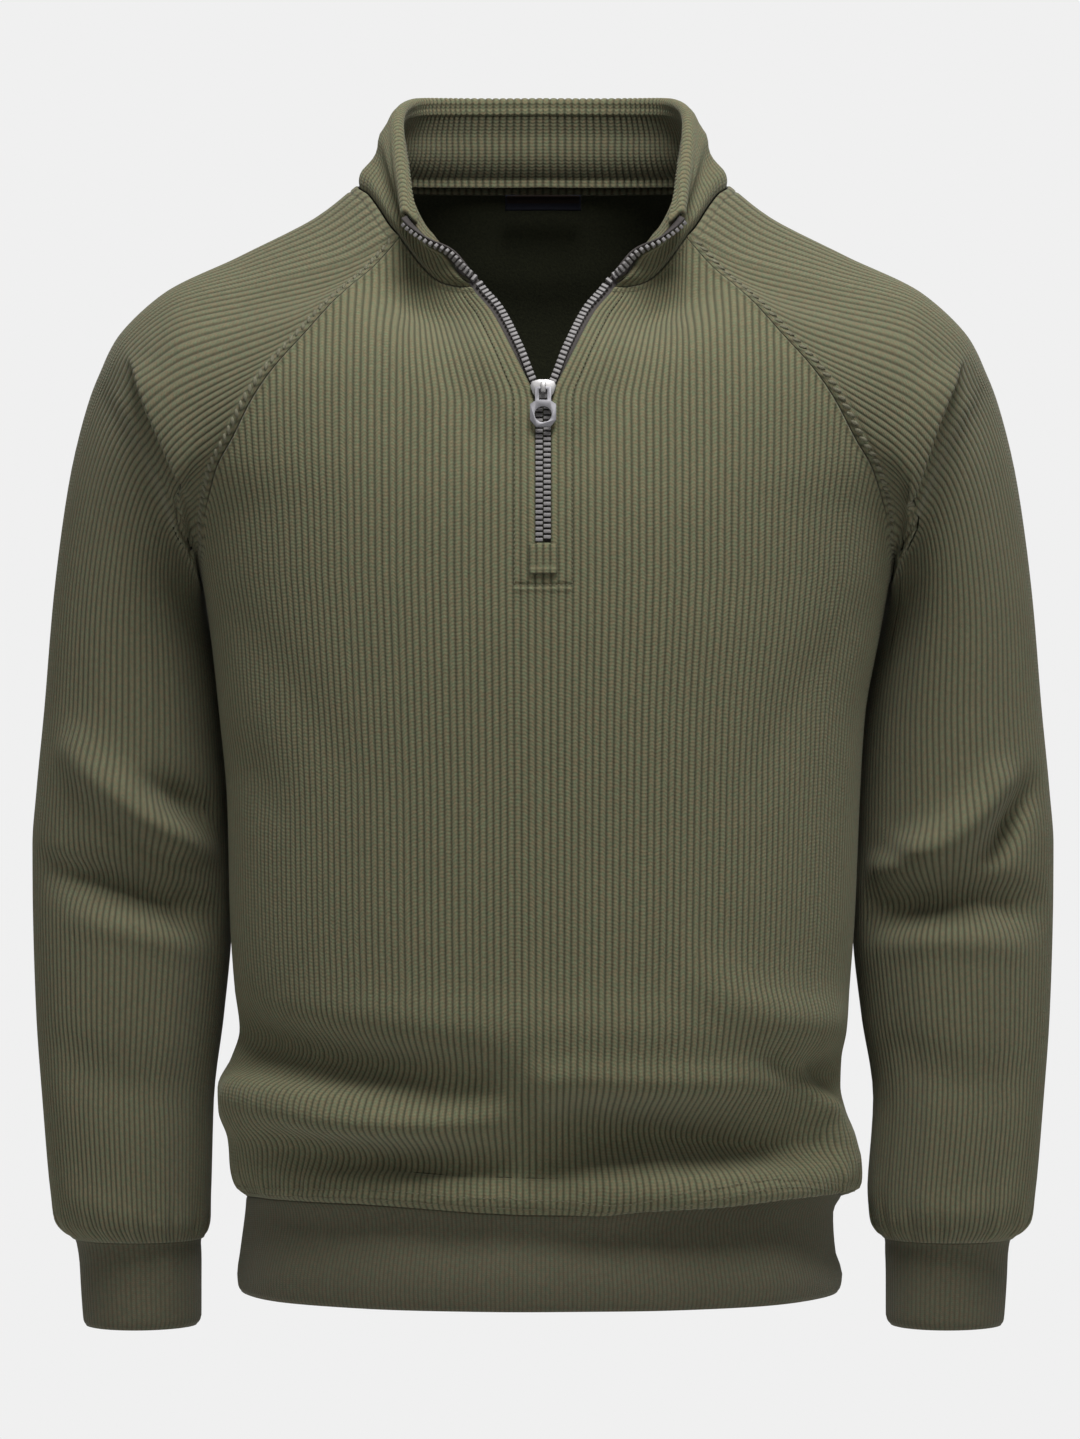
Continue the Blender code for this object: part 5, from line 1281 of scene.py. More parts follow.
# ---------------------------------------------------------------- sleeves
@dataclass
class Sleeve:
    """One raglan sleeve: ribs along it, a stitched band at the seam, creases and a bloused end."""

    side: Side
    front: BodyPanel
    back: BodyPanel
    band: float = 0.0056             # width of the stitched band beside the seam
    lozenge_at: float = 0.0032       # the slanted stitches' line, from the seam
    lozenge_pitch: float = 0.0054
    allowance: float = 0.0100        # width of the strip that covers the seam from inside
    allowance_steps: int = 360
    crease_rise: float = 0.0056      # of the shoulder fold's step, to each side
    crease_edge: float = 0.0011      # how sharp it is
    crease_reach: float = 0.0190     # and how far it spreads
    seam_rows: tuple[float, ...] = (0.0, 0.0005, 0.0011, 0.0018, 0.0025, 0.0032, 0.0040, 0.0048, 0.0056,
                                    0.0064, 0.0074, 0.0088)
    ribs: int = 106

    def edge_point(self, t: Grid, panel: BodyPanel) -> tuple[Grid, Grid]:
        """Points on a panel's raglan edge, from the underarm (0) to the neck (1)."""
        edge = panel.edges[self.side]
        shares = 1 - (1 - edge.corner) * t
        top = np.where(t > 0.99999, edge.top(np.full_like(shares, edge.corner + 1e-7)), edge.top(shares))
        return panel_point(self.side.value * shares, top, panel.panel)

    def loop(self, place: Grid) -> tuple[Grid, Grid]:
        """The seam loop at shares of its steps, from the underarm by the front and the neck."""
        step = place * EDGES_LOOP
        points, normals = np.zeros((len(place), 3)), np.zeros((len(place), 3))
        front = step <= EDGES_RAGLAN
        neck = ~front & (step < EDGES_RAGLAN + EDGES_NECK)
        back = ~front & ~neck
        points[front], normals[front] = self.edge_point(step[front] / EDGES_RAGLAN, self.front)
        turn = (step[neck] - EDGES_RAGLAN) / EDGES_NECK
        points[neck], normals[neck] = shoulder_neck(self.side.value, turn)
        points[back], normals[back] = self.edge_point((EDGES_LOOP - step[back]) / EDGES_RAGLAN, self.back)
        points[0, 1] = 0.0
        away = unit(np.cross(normals, loop_tangent(points)) * -self.side.value)
        return points + away * SEAM_GAP * 2, normals

    def oval(self, ring: float, places: Grid) -> Grid:
        """Points round one ring at shares of its girth, from the inner edge by the front and back."""
        inner_name = "inner_right" if self.side is Side.RIGHT else "inner_left"
        outer = np.array([SLEEVE.at("outer_x", ring), SLEEVE.at("outer_z", ring)])
        inner = np.array([SLEEVE.at(inner_name, ring), SLEEVE.at("inner_z", ring)])
        centre, half = (outer + inner) / 2, (outer - inner) / 2
        length = np.linalg.norm(half)
        up = half / length
        lean = np.array([-up[1], up[0]]) * float(SLEEVE.at("lean", ring))
        set_back = float(SLEEVE.at("set_back", ring))
        turn = np.linspace(0.0, math.pi, 161)
        power = 2.0 / OVAL
        result = np.zeros((len(places), 3))
        for depth_name, sign in (("front", -1.0), ("back", 1.0)):
            depth = float(SLEEVE.at(depth_name, ring))
            along = -np.sign(np.cos(turn)) * length * np.abs(np.cos(turn)) ** power
            out = np.sin(turn) ** power
            arc = np.concatenate(([0.0], np.cumsum(np.hypot(np.diff(along), np.diff(depth * out)))))
            chosen = places <= 0.5 if sign < 0 else places > 0.5
            share = places[chosen] * 2 if sign < 0 else (1.0 - places[chosen]) * 2
            at, outward = np.interp(share, arc / arc[-1], along), np.interp(share, arc / arc[-1], out)
            plane = centre + up * at[:, None] + lean * outward[:, None]
            result[chosen] = np.stack((self.side.value * plane[:, 0], set_back + sign * depth * outward,
                                       plane[:, 1]), axis=-1)
        return result

    def rings(self, even: Grid, values: Grid) -> tuple[Grid, Grid]:
        """The sleeve's form at many rings, and the seam loop's directions."""
        loop, normals = self.loop(even)
        top = int(np.abs(even - 0.5).argmin())
        along = loop_length(loop)
        seam = np.where(np.arange(len(even)) <= top, 0.5 * along[:-1] / along[top],
                        0.5 + 0.5 * (along[:-1] - along[top]) / (along[-1] - along[top]))
        difference = loop - self.oval(0, seam)
        from_underarm = smooth_step(np.minimum(seam, 1 - seam), 0.08, 0.30)
        made = [loop]
        for ring in values[1:]:
            mix = (from_underarm * smooth_step(ring, 3.2, EVEN_FROM_RING)
                   + (1 - from_underarm) * min(1.0, ring / EVEN_FROM_RING))
            left = ((1 - from_underarm) * SLEEVE.at("seam_low", ring)
                    + from_underarm * SLEEVE.at("seam", ring))
            made.append(self.oval(ring, seam * (1 - mix) + even * mix) + difference * left[:, None])
        return np.array(made), normals

    def crease(self, points: Grid, normals: Grid, gap: Grid) -> Grid:
        """The step where the cap folds over the upper sleeve, in front and more softly behind."""
        x, z = np.abs(points[..., 0]), points[..., 2]
        across = (x - SHOULDER_CREASE[self.side].at("x", z)) * 0.92
        along = smooth_step(z, -0.232, -0.206) * (1 - smooth_step(z, -0.130, -0.104))
        along = along * smooth_step(gap, 0.007, 0.024)
        step = -np.tanh(across / self.crease_edge) * np.exp(-(across / self.crease_reach) ** 2)
        front = smooth_step(-normals[..., 1], 0.25, 0.60)
        behind = smooth_step(normals[..., 1], 0.2, 0.6) * 0.45
        return self.crease_rise * step * along * (front + behind)

    def grid(self) -> dict[str, Grid]:
        """Rows along the sleeve: close ones by the seam, at the elbow's creases and at the cuff."""
        wales = Wales(self.ribs)
        even = wales.places[:-1] / self.ribs
        values = np.linspace(0.0, LAST_RING, 361)
        form, seam_normals = self.rings(even, values)
        tangent = loop_tangent(form[0])
        offset = form - form[:1]
        offset = offset - tangent * (offset * tangent).sum(axis=-1, keepdims=True)
        gap = np.maximum.accumulate(np.linalg.norm(offset[:BESIDE_SEAM], axis=-1), axis=0)
        near = np.array([[np.interp(value, gap[:, j], values[:BESIDE_SEAM]) for j in range(len(even))]
                         for value in self.seam_rows])
        later = stepped(0.42, (1.0, 4), (5.4, 60), (7.0, 9), (8.0, 7), (9.0, 8), (14.0, 54), (17.0, 14),
                        (LAST_RING, 8))
        last = near[-1]
        ring = np.concatenate((near, [last + (LAST_RING - last) * (value - 0.3) / 17.7 for value in later]))
        points = np.stack([[np.interp(ring[:, j], values, form[:, j, k]) for j in range(len(even))]
                           for k in range(3)], axis=-1).transpose(1, 0, 2)
        normals = grid_normals(points, closed=True) * self.side.value
        ease = smooth_step(np.arange(len(points)), 0, 8)[:, None, None]
        normals = unit(seam_normals[None] * (1 - ease) + normals * ease)
        behind = SLEEVE_BACK_FOLDS
        if self.side is Side.LEFT:
            behind = [mirrored(fold) for fold in SLEEVE_BACK_FOLDS]
        flat, folds = points.reshape(-1, 3), np.zeros(points.shape[:2])
        for creases, facing in ((SLEEVE_FOLDS[self.side], -normals[..., 1]), (behind, normals[..., 1])):
            folds += fold_rise(flat, creases).reshape(folds.shape) * np.clip(facing * 2.0 - 0.7, 0.0, 1.0)
        gaps = np.stack([np.interp(ring[:, j], values[:BESIDE_SEAM], gap[:, j], right=1.0)
                         for j in range(len(even))], axis=-1)
        folds = folds + self.crease(points, normals, gaps)
        points = points + normals * folds[..., None]
        normals[-1] = without(normals[-1])
        points[-1, :, 2] = CUFF_SEAM_Z
        return {"points": points, "normals": normals, "gap": gaps, "levels": wales.levels[:-1], "ring": ring,
                "places": wales.places[:-1]}

    def build(self, finishes: Finishes, stitches: Sewing) -> None:
        """Make the sleeve and lay the slanted stitches on its seam band."""
        grid = self.grid()
        points, normals, gap = grid["points"], grid["normals"], grid["gap"]
        ribs = smooth_step(gap, self.band - 0.0004, self.band + 0.0022)
        edge = smooth_step(gap, self.band - 0.0010, self.band + 0.0004)
        shape = 0.00045 * (smooth_step(gap, 0.0003, 0.0014) - edge)
        shape = shape - 0.0006 * bump(gap, 0.0, 0.0005) - 0.0004 * bump(gap, self.band, 0.0006)
        end = LAST_RING - grid["ring"]
        ribs = ribs * smooth_step(end, 0.02, 0.35)
        places = grid["places"]
        gather = (np.sin(places * math.tau / 6.0 + 1.2 * np.sin(places * math.tau / 28))
                  + 0.6 * np.sin(places * math.tau / 3.5))
        gather = gather * (1 + 0.3 * np.sin(places * math.tau / 42 + self.side.value))
        shape = shape + 0.0007 * gather[None, :] * bump(end, 0.75, 0.75) * smooth_step(end, 0.0, 0.35)
        rise = grid["levels"][None, :] * RIB_HEIGHT * 1.05 * ribs + shape
        row = self.seam_rows.index(self.lozenge_at)
        line = points[row] + normals[row] * 0.0004
        share, count = EDGES_RAGLAN / EDGES_LOOP, len(line)
        for part in (slice(2, int(share * count)), slice(int((1 - share) * count), count - 2)):
            stitches.row(line[part], normals[row][part], self.lozenge_pitch, lift=0.0002)
        wall = Wall(f"sleeve_{self.side.word}", closing(points), closing(normals), closing(rise),
                    np.append(places, self.ribs) * RIB_PITCH, closed=True, column_step=5)
        made = wall.build(finishes.sleeve, finishes.fleece)
        enlist(made, "ribbed_knit", f"sleeve_{self.side.word}")
        self._allowance(finishes)

    def _allowance(self, finishes: Finishes) -> None:
        """The seam allowance: a narrow strip inside the garment that covers the seam from behind."""
        even = np.arange(self.allowance_steps) / self.allowance_steps
        loop, normals = self.loop(even)
        away = unit(np.cross(normals, loop_tangent(loop)))
        offsets = np.linspace(-0.5, 0.5, 5) * self.allowance
        points = np.array([loop + away * offset for offset in offsets]) - normals * (WALL + 0.0004)
        every = np.broadcast_to(normals, points.shape)
        length = loop_length(loop)
        wall = Wall(f"seam_allowance_{self.side.word}", closing(points), closing(every),
                    np.zeros((len(offsets), len(loop) + 1)), length, thickness=0.0008, closed=True,
                    column_step=4)
        made = wall.build(finishes.fleece, finishes.fleece)
        enlist(made, "ribbed_knit")


# ---------------------------------------------------------------- bands
def band_end(down: Grid, length: float) -> tuple[Grid, Grid]:
    """How much of a band's ribs shows at each row, and how its folded end rounds over."""
    left = length - down
    ribs = smooth_step(left, 0.0, 0.004) * smooth_step(down, 0.0, 0.0025)
    return ribs, -0.0011 * bump(left, 0.0, 0.0014)


@dataclass
class Cuff:
    """A tubular cuff in fine rib with a rounded end."""

    side: Side
    ribs: int = 76
    rows: tuple[float, ...] = (0.0, 0.0006, 0.0016, 0.0032, 0.0058, 0.0095, 0.0150, 0.0210, 0.0280, 0.0350,
                               0.0420, 0.0470, 0.0497, 0.0510, 0.0518, 0.0524, 0.05275)

    def build(self, finishes: Finishes) -> None:
        """Make the cuff."""
        wales = Wales(self.ribs)
        turn = wales.places / self.ribs * math.tau
        top = CUFF_SEAM_Z - SEAM_GAP
        length = top - CUFF_END_Z
        down = np.array(self.rows) * length / self.rows[-1]
        z = top - down
        outer, inner, depth = (CUFF.at(name, z) for name in ("outer_x", "inner_x", "depth"))
        x = (outer + inner)[:, None] / 2 + (outer - inner)[:, None] / 2 * np.cos(turn)[None, :]
        y = CUFF_SET_BACK + depth[:, None] * np.sin(turn)[None, :]
        points = np.stack((self.side.value * x, y, np.broadcast_to(z[:, None], x.shape)), axis=-1)
        normals = grid_normals(points[:, :-1], closed=True) * self.side.value
        normals = closing(without(normals))
        ends, shape = band_end(down, length)
        shape = shape - 0.0014 * bump(down, 0.0020, 0.0045)
        waver = 0.0005 * np.sin(turn * 3 + self.side.value)[None, :] * smooth_step(down, 0, 0.02)[:, None]
        rise = wales.levels[None, :] * FINE_HEIGHT * ends[:, None] + shape[:, None] + waver
        wall = Wall(f"cuff_{self.side.word}", points, normals, rise, wales.places * FINE_PITCH,
                    thickness=BAND_WALL, closed=True, column_step=10)
        made = wall.build(finishes.band, finishes.band)
        enlist(made, "fine_rib", f"cuff_{self.side.word}")


@dataclass
class Waistband:
    """The tubular band round the hem, its top edge waved as the hem seam is."""

    tuck: float = -0.0050            # how far its upper part goes in on the front and back
    flare: float = 0.0020            # and its lower part comes out
    rows: tuple[float, ...] = (0.0, 0.012, 0.030, 0.060, 0.105, 0.170, 0.260, 0.370, 0.490, 0.610, 0.730,
                               0.830, 0.900, 0.945, 0.970, 0.985, 0.995, 1.0)

    def build(self, finishes: Finishes) -> None:
        """Make the band."""
        shares, tops, levels, panels = [], [], [], []
        for panel, order in ((Panel.FRONT, 1), (Panel.BACK, -1)):
            girth = sum(float(reach(np.array([side.value]), np.array([HEM_SEAM_Z]), panel)[0])
                        for side in Side)
            wales = Wales(round(girth / FINE_PITCH))
            share = (wales.places / wales.ribs * 2 - 1) * order
            shares.append(share[:-1])
            tops.append((hem_height(share, panel) - SEAM_GAP)[:-1])
            levels.append(wales.levels[:-1])
        rows = []
        for part in self.rows:
            ring = []
            for panel, share, top in zip((Panel.FRONT, Panel.BACK), shares, tops):
                points, _ = panel_point(share, top * (1 - part) + HEM_Z * part, panel, folded=False)
                ring.append(points)
            rows.append(np.concatenate(ring))
        points = np.array(rows)
        normals = without(grid_normals(points, closed=True))
        level = np.append(np.concatenate(levels), RIB_LEVELS[0] - 0.5)
        down = np.array(self.rows) * (HEM_SEAM_Z - HEM_Z)
        length = down[-1]
        ends, shape = band_end(down, length)
        shape = shape - 0.0004 * bump(down, 0.0, 0.0010)
        across = np.arange(len(level)) / RIB_POINTS * FINE_PITCH
        waver = (0.0005 * np.sin(across * 38)[None, :] + 0.0004 * np.sin(across * 83 + 1)[None, :])
        waver = waver * smooth_step(down, 0.002, 0.02)[:, None]
        sway = self.tuck * bump(down, 0.014, 0.013) + self.flare * bump(down, 0.043, 0.013)
        sway = sway[:, None] * smooth_step(np.abs(normals[..., 1]), 0.3, 0.85)
        points = points + normals * sway[..., None]
        points, normals = closing(points), closing(normals)
        rise = level[None, :] * FINE_HEIGHT * ends[:, None] + shape[:, None] + waver
        whole = np.floor(np.arange(len(level)) / RIB_POINTS)
        phase = np.append(np.tile(RIB_PHASES, len(level) // RIB_POINTS), 0.0)[:len(level)]
        wall = Wall("waistband", points, normals, rise, (whole + phase) * FINE_PITCH, thickness=BAND_WALL,
                    closed=True, column_step=10)
        made = wall.build(finishes.band, finishes.band)
        enlist(made, "fine_rib", "waistband")


# ---------------------------------------------------------------- collar
@dataclass
class Collar:
    """The mock collar: an outer band rolled over its top edge, and the facing inside it."""

    front: BodyPanel
    back: BodyPanel
    half_ribs: int = 62
    leg_rows: tuple[float, ...] = (0.0, 0.010, 0.022, 0.036, 0.052, 0.075, 0.11, 0.16, 0.21, 0.27, 0.33,
                                   0.40, 0.47, 0.54, 0.61, 0.68, 0.75, 0.81, 0.86, 0.90,
                                   COLLAR_ROLL_FROM)
    leg: Grid = field(init=False)
    leg_normals: Grid = field(init=False)

    def neck_half(self, side: Side) -> tuple[Grid, Grid]:
        """The neck seam from the zip to the centre back as a fine line, with its directions."""
        ahead, behind = self.front.edges[side], self.back.edges[side]
        shares = np.linspace(ahead.first, ahead.corner, 70)
        first, first_n = panel_point(side.value * shares, ahead.top(shares), Panel.FRONT)
        middle, middle_n = shoulder_neck(side.value, np.linspace(0.0, 1.0, 60))
        shares = np.linspace(behind.corner, 0.0, 70)
        last, last_n = panel_point(side.value * shares, behind.top(shares), Panel.BACK)
        points = np.concatenate((first, middle[1:-1], last))
        normals = soften(np.concatenate((first_n, middle_n[1:-1], last_n)), 12)
        return points, unit(normals)

    def grids(self) -> dict[str, Grid]:
        """The outer band's rows with its roll, and the facing's rows."""
        wales = Wales(self.half_ribs)
        seam, seam_n, turns, sides = [], [], [], []
        for side in Side:
            points, normals = self.neck_half(side)
            line = np.concatenate((points, normals), axis=1)
            share = wales.places / self.half_ribs
            line = resample(line, share * run_length(points)[-1])
            if side is Side.LEFT:
                line, share = line[::-1][1:], share[::-1][1:]
            seam.append(line[:, :3])
            seam_n.append(unit(line[:, 3:]))
            turns.append(share)
            sides.append(np.full(len(share), side.value))
        base, base_n, turn, side = (np.concatenate(part) for part in (seam, seam_n, turns, sides))
        top = np.stack([COLLAR_TOP.at(name, turn) for name in ("x", "y", "z")], axis=-1)
        top[:, 0] *= side
        away = unit(np.cross(base_n, np.gradient(base, axis=0)))
        base = base + away * COLLAR_GAP * np.sign((away * (top - base)).sum(axis=-1, keepdims=True))
        rows = np.array([base + (top - base) * height for height in self.leg_rows])
        normals = grid_normals(rows, closed=False)
        outward = np.array([float(COLLAR_BULGE.at("out", height)) for height in self.leg_rows])
        rows = rows + normals * outward[:, None, None]
        ease = smooth_step(np.array(self.leg_rows), 0.0, 0.25)[:, None, None]
        normals = unit(base_n[None] * (1 - ease) + normals * ease)
        self.leg, self.leg_normals = rows, normals
        out = normals[-1]
        rise = top - rows[-1]
        up = unit(rise - out * (rise * out).sum(axis=-1, keepdims=True))
        centre = rows[-1] - out * ROLL_RADIUS
        band, band_n = [*rows], [*normals]
        for angle in np.linspace(0.0, math.pi, 9)[1:]:
            direction = out * math.cos(angle) + up * math.sin(angle)
            band.append(centre + direction * ROLL_RADIUS)
            band_n.append(direction)
        turned = band[-1]
        for step in (0.2, 0.45, 0.7, 0.88, 1.0):
            band.append(turned - up * ROLL_RETURN * step)
            band_n.append(-out)
        own = grid_normals(rows, closed=False)
        from_zip = smooth_step(turn * COLLAR_HALF, 0.0, 0.016)
        depth = (FACING_EDGE + (FACING_DEPTH - FACING_EDGE) * from_zip)[:, None]
        facing, facing_n = [band[-1] - up * COLLAR_GAP], [-out]
        upward = unit(rows[1] - rows[0])
        for k in range(len(rows) - 3, -1, -1):
            lift = FACING_LIFT * max(0.0, 1 - self.leg_rows[k] / 0.2)
            facing.append(rows[k] - own[k] * depth + upward * lift)
            facing_n.append(-own[k])
        levels = np.concatenate((wales.levels, wales.levels[::-1][1:]))
        across = np.concatenate((wales.places, 2 * self.half_ribs - wales.places[::-1][1:])) * RIB_PITCH
        return {"band": np.array(band), "band_n": np.array(band_n), "facing": np.array(facing),
                "facing_n": unit(np.array(facing_n)), "levels": levels, "across": across,
                "from_zip": np.minimum(turn, 1.0)}

    def build(self, finishes: Finishes) -> None:
        """Make both walls."""
        grid = self.grids()
        down = run_length(grid["band"])
        length = down[-1]
        girth = grid["from_zip"] * COLLAR_HALF
        edge = smooth_step(girth, 0.0004, 0.0030)[None, :]
        ribs = smooth_step(down, 0.0010, 0.0040) * edge
        shape = -0.0005 * bump(down, 0.0, 0.0007) + 0.0004 * bump(down, 0.0020, 0.0012)
        shape = shape - 0.0007 * bump(girth, 0.0, 0.0008)[None, :]
        shape = shape + 0.0020 * bump(length - down, 0.0024, 0.0019) * edge
        leg = down[len(self.leg_rows) - 1][None, :]
        shape = shape + 0.0003 * np.sin(down * 420)
        rise = grid["levels"][None, :] * RIB_HEIGHT * ribs * (1 - 0.15 * smooth_step(down, 0, leg)) + shape
        band = Wall("collar", grid["band"], grid["band_n"], rise, grid["across"])
        outer = band.build(finishes.knit, finishes.facing)
        enlist(outer, "ribbed_knit", "collar")
        inside = run_length(grid["facing"])
        ribs = smooth_step(inside, 0.0010, 0.0035) * edge
        rise = grid["levels"][None, :] * RIB_HEIGHT * 1.2 * ribs - 0.0012 * bump(inside, 0.0, 0.0022)
        inner = Wall("collar_facing", grid["facing"], grid["facing_n"], rise, grid["across"])
        made = inner.build(finishes.facing, finishes.facing)
        enlist(made, "facing_knit", "collar_facing")
        LOG.info("collar: %.0f mm from seam to end", 1000 * float(length.mean()))


# ---------------------------------------------------------------- zip
@dataclass
class Zip:
    """Tapes and two rows of separate metal teeth, closed below the slider and open above it."""

    front: BodyPanel
    collar: Collar
    tape_front: float = -0.0025
    tape_back: float = -0.0035
    teeth_front: float = 0.0004
    teeth_back: float = -0.0020
    teeth_width: float = 0.0036
    pitch: float = 0.0032
    tooth: float = 0.0020

    def edge(self, side: Side) -> tuple[Grid, Grid]:
        """The cloth's edge from the bottom of the slit to the top of the collar."""
        own = self.front.edges[side]
        top = float(own.top(np.array([own.first]))[0])
        z = np.linspace(SLIT_END_Z, top, 120)
        low, low_n = panel_point(np.full_like(z, side.value * own.first), z, Panel.FRONT)
        column = 0 if side is Side.RIGHT else -1
        line = np.concatenate((low, self.collar.leg[1:, column]))
        normals = np.concatenate((low_n, self.collar.leg_normals[1:, column]))
        whole = resample(np.concatenate((line, normals), axis=1), np.linspace(0, run_length(line)[-1], 170))
        return soften(whole[:, :3], 3), unit(soften(whole[:, 3:], 30))

    def inward(self, line: Grid, normals: Grid, side: Side) -> Grid:
        """Direction from the cloth's edge across the zip."""
        return unit(np.cross(np.gradient(line, axis=0), normals) * -side.value)

    def build(self, finishes: Finishes) -> None:
        """Make the tapes and the teeth."""
        for side in Side:
            line, normals = self.edge(side)
            way = self.inward(line, normals, side)
            shown = TAPE_SHOWN.at("shown", line[:, 2])
            span = np.linspace(0.0, 1.0, 7)
            offset = SEAM_GAP + (shown + self.teeth_width - SEAM_GAP)[:, None] * span[None, :]
            points = line[:, None] + way[:, None] * offset[..., None] + normals[:, None] * self.tape_front
            every = np.broadcast_to(normals[:, None], points.shape)
            wall = Wall(f"zip_tape_{side.word}", points, every, np.zeros(points.shape[:2]), span * 0.008,
                        thickness=self.tape_front - self.tape_back, column_step=3)
            tape = wall.build(finishes.tape, finishes.tape)
            enlist(tape, "zip_tape", f"zip_tape_{side.word}")
            teeth = self._teeth(side, line, normals, way, shown, finishes.teeth)
            enlist(teeth, "zip_metal", f"zip_chain_{side.word}")

    def _teeth(self, side: Side, line: Grid, normals: Grid, way: Grid, shown: Grid,
               finish: bpy.types.Material) -> bpy.types.Object:
        """One row of teeth, half a step off the other side's."""
        form = bmesh.new()
        bmesh.ops.create_cube(form, size=1.0)
        bmesh.ops.scale(form, verts=form.verts,
                        vec=(self.teeth_width + 0.0006, self.teeth_front - self.teeth_back, self.tooth))
        bmesh.ops.bevel(form, geom=form.edges[:], offset=0.00032, segments=2, profile=0.5, affect="EDGES",
                        material=-1)
        form.verts.index_update()
        row = Sewing(f"zip_teeth_{side.word}", finish, form)
        start = 0.0009 if side is Side.RIGHT else 0.0009 + self.pitch / 2
        whole = np.concatenate((line, normals, way, shown[:, None]), axis=1)
        at = np.arange(start, run_length(line)[-1] - 0.0010, self.pitch)
        whole = resample(whole, at)
        out, across = unit(whole[:, 3:6]), unit(whole[:, 6:9])
        middle = (self.teeth_front + self.teeth_back) / 2
        centre = whole[:, :3] + across * (whole[:, 9:10] + self.teeth_width / 2) + out * middle
        row.place(centre, across, out)
        return row.build()


# ---------------------------------------------------------------- small parts
@dataclass
class Hardware:
    """The slider and the pull tab, with softened edges."""

    edge: float = 0.00028

    def build(self, frame: dict[str, Any], finishes: Finishes) -> None:
        """Copy both nodes where they are and soften their edges."""
        for node, body, finish in (("zip_slider", "garment", finishes.metal),
                                   ("pull_tab", "pull_tab", finishes.tab)):
            form = bmesh.new()
            form.from_mesh(frame["nodes"][node].data)
            bmesh.ops.remove_doubles(form, verts=form.verts, dist=1e-6)
            bmesh.ops.dissolve_limit(form, angle_limit=math.radians(3), verts=form.verts, edges=form.edges)
            bmesh.ops.recalc_face_normals(form, faces=form.faces)
            sharp = [edge for edge in form.edges if len(edge.link_faces) == 2
                     and edge.calc_face_angle() > math.radians(32)]
            bmesh.ops.bevel(form, geom=sharp, offset=self.edge, segments=2, profile=0.5, affect="EDGES",
                            material=-1, clamp_overlap=True)
            piece = object_from(form, f"{node}_soft", (finish,))
            piece.data.set_sharp_from_angle(angle=math.radians(40))
            enlist(piece, "zip_metal", node, body=body)
            LOG.info("%s: %d faces", piece.name, len(piece.data.polygons))


@dataclass
class Patches:
    """The ribbed patch under the zip and the bare label inside the back neck."""

    patch_width: float = 0.0160
    patch_heights: tuple[float, float] = (-0.2375, -0.2208)
    patch_rise: float = 0.0016
    label_width: float = 0.0490
    label_heights: tuple[float, float] = (-0.0042, 0.0068)
    label_depth: float = 0.0098

    def build(self, front: BodyPanel, back: BodyPanel, finishes: Finishes) -> None:
        """Make both."""
        girth = front.edges[Side.LEFT].girth
        wales = Wales(4)
        x = (wales.places / 4 - 0.5) * self.patch_width
        down = np.concatenate(([0.0, 0.04], np.linspace(0.10, 0.72, 8), [0.78, 0.82, 0.86, 0.90, 0.95, 1.0]))
        z = self.patch_heights[1] + (self.patch_heights[0] - self.patch_heights[1]) * down
        points, normals = panel_point(x[None, :] / girth, z[:, None], Panel.FRONT)
        points = points + normals * self.patch_rise
        ends = smooth_step(down, 0.0, 0.08) * (1 - smooth_step(down, 0.70, 0.80))
        sides = smooth_step(self.patch_width / 2 - np.abs(x), 0.0, 0.0012)
        rise = wales.levels[None, :] * 0.0014 * ends[:, None] * sides[None, :]
        rise = rise + 0.0010 * smooth_step(down, 0.76, 0.84)[:, None] - 0.0006 * (1 - sides)[None, :]
        wall = Wall("zip_end_patch", points[::-1], normals[::-1], rise[::-1], wales.places * RIB_PITCH,
                    thickness=0.0010, column_step=5)
        patch = wall.build(finishes.knit, finishes.knit)
        enlist(patch, "ribbed_knit", "zip_end_patch")
        self._label(back, finishes)

    def _label(self, back: BodyPanel, finishes: Finishes) -> None:
        """The label, with a raised woven border."""
        girth = back.edges[Side.LEFT].girth
        x = np.linspace(-0.5, 0.5, 41) * self.label_width
        z = np.linspace(*self.label_heights, 13)
        points, normals = panel_point(x[None, :] / girth, z[:, None], Panel.BACK)
        points = points - normals * self.label_depth
        inset = np.minimum(self.label_width / 2 - np.abs(x)[None, :],
                           np.minimum(z - z[0], z[-1] - z)[:, None])
        rise = 0.00025 * (1 - smooth_step(inset, 0.0010, 0.0016))
        wall = Wall("neck_label", points[:, ::-1], -normals[:, ::-1], rise[:, ::-1], x,
                    thickness=0.0006, column_step=8)
        label = wall.build(finishes.label, finishes.label)
        label.data.materials.append(finishes.label_edge)
        for face in label.data.polygons:
            where = [label.data.vertices[index].co for index in face.vertices]
            aside = max(abs(point.x) for point in where)
            if face.material_index == 0 and (aside > self.label_width / 2 - 0.0016
                                             or min(point.z for point in where) < z[1] - 1e-5
                                             or max(point.z for point in where) > z[-2] + 1e-5):
                face.material_index = 2
        enlist(label, "neck_label", "neck_label")


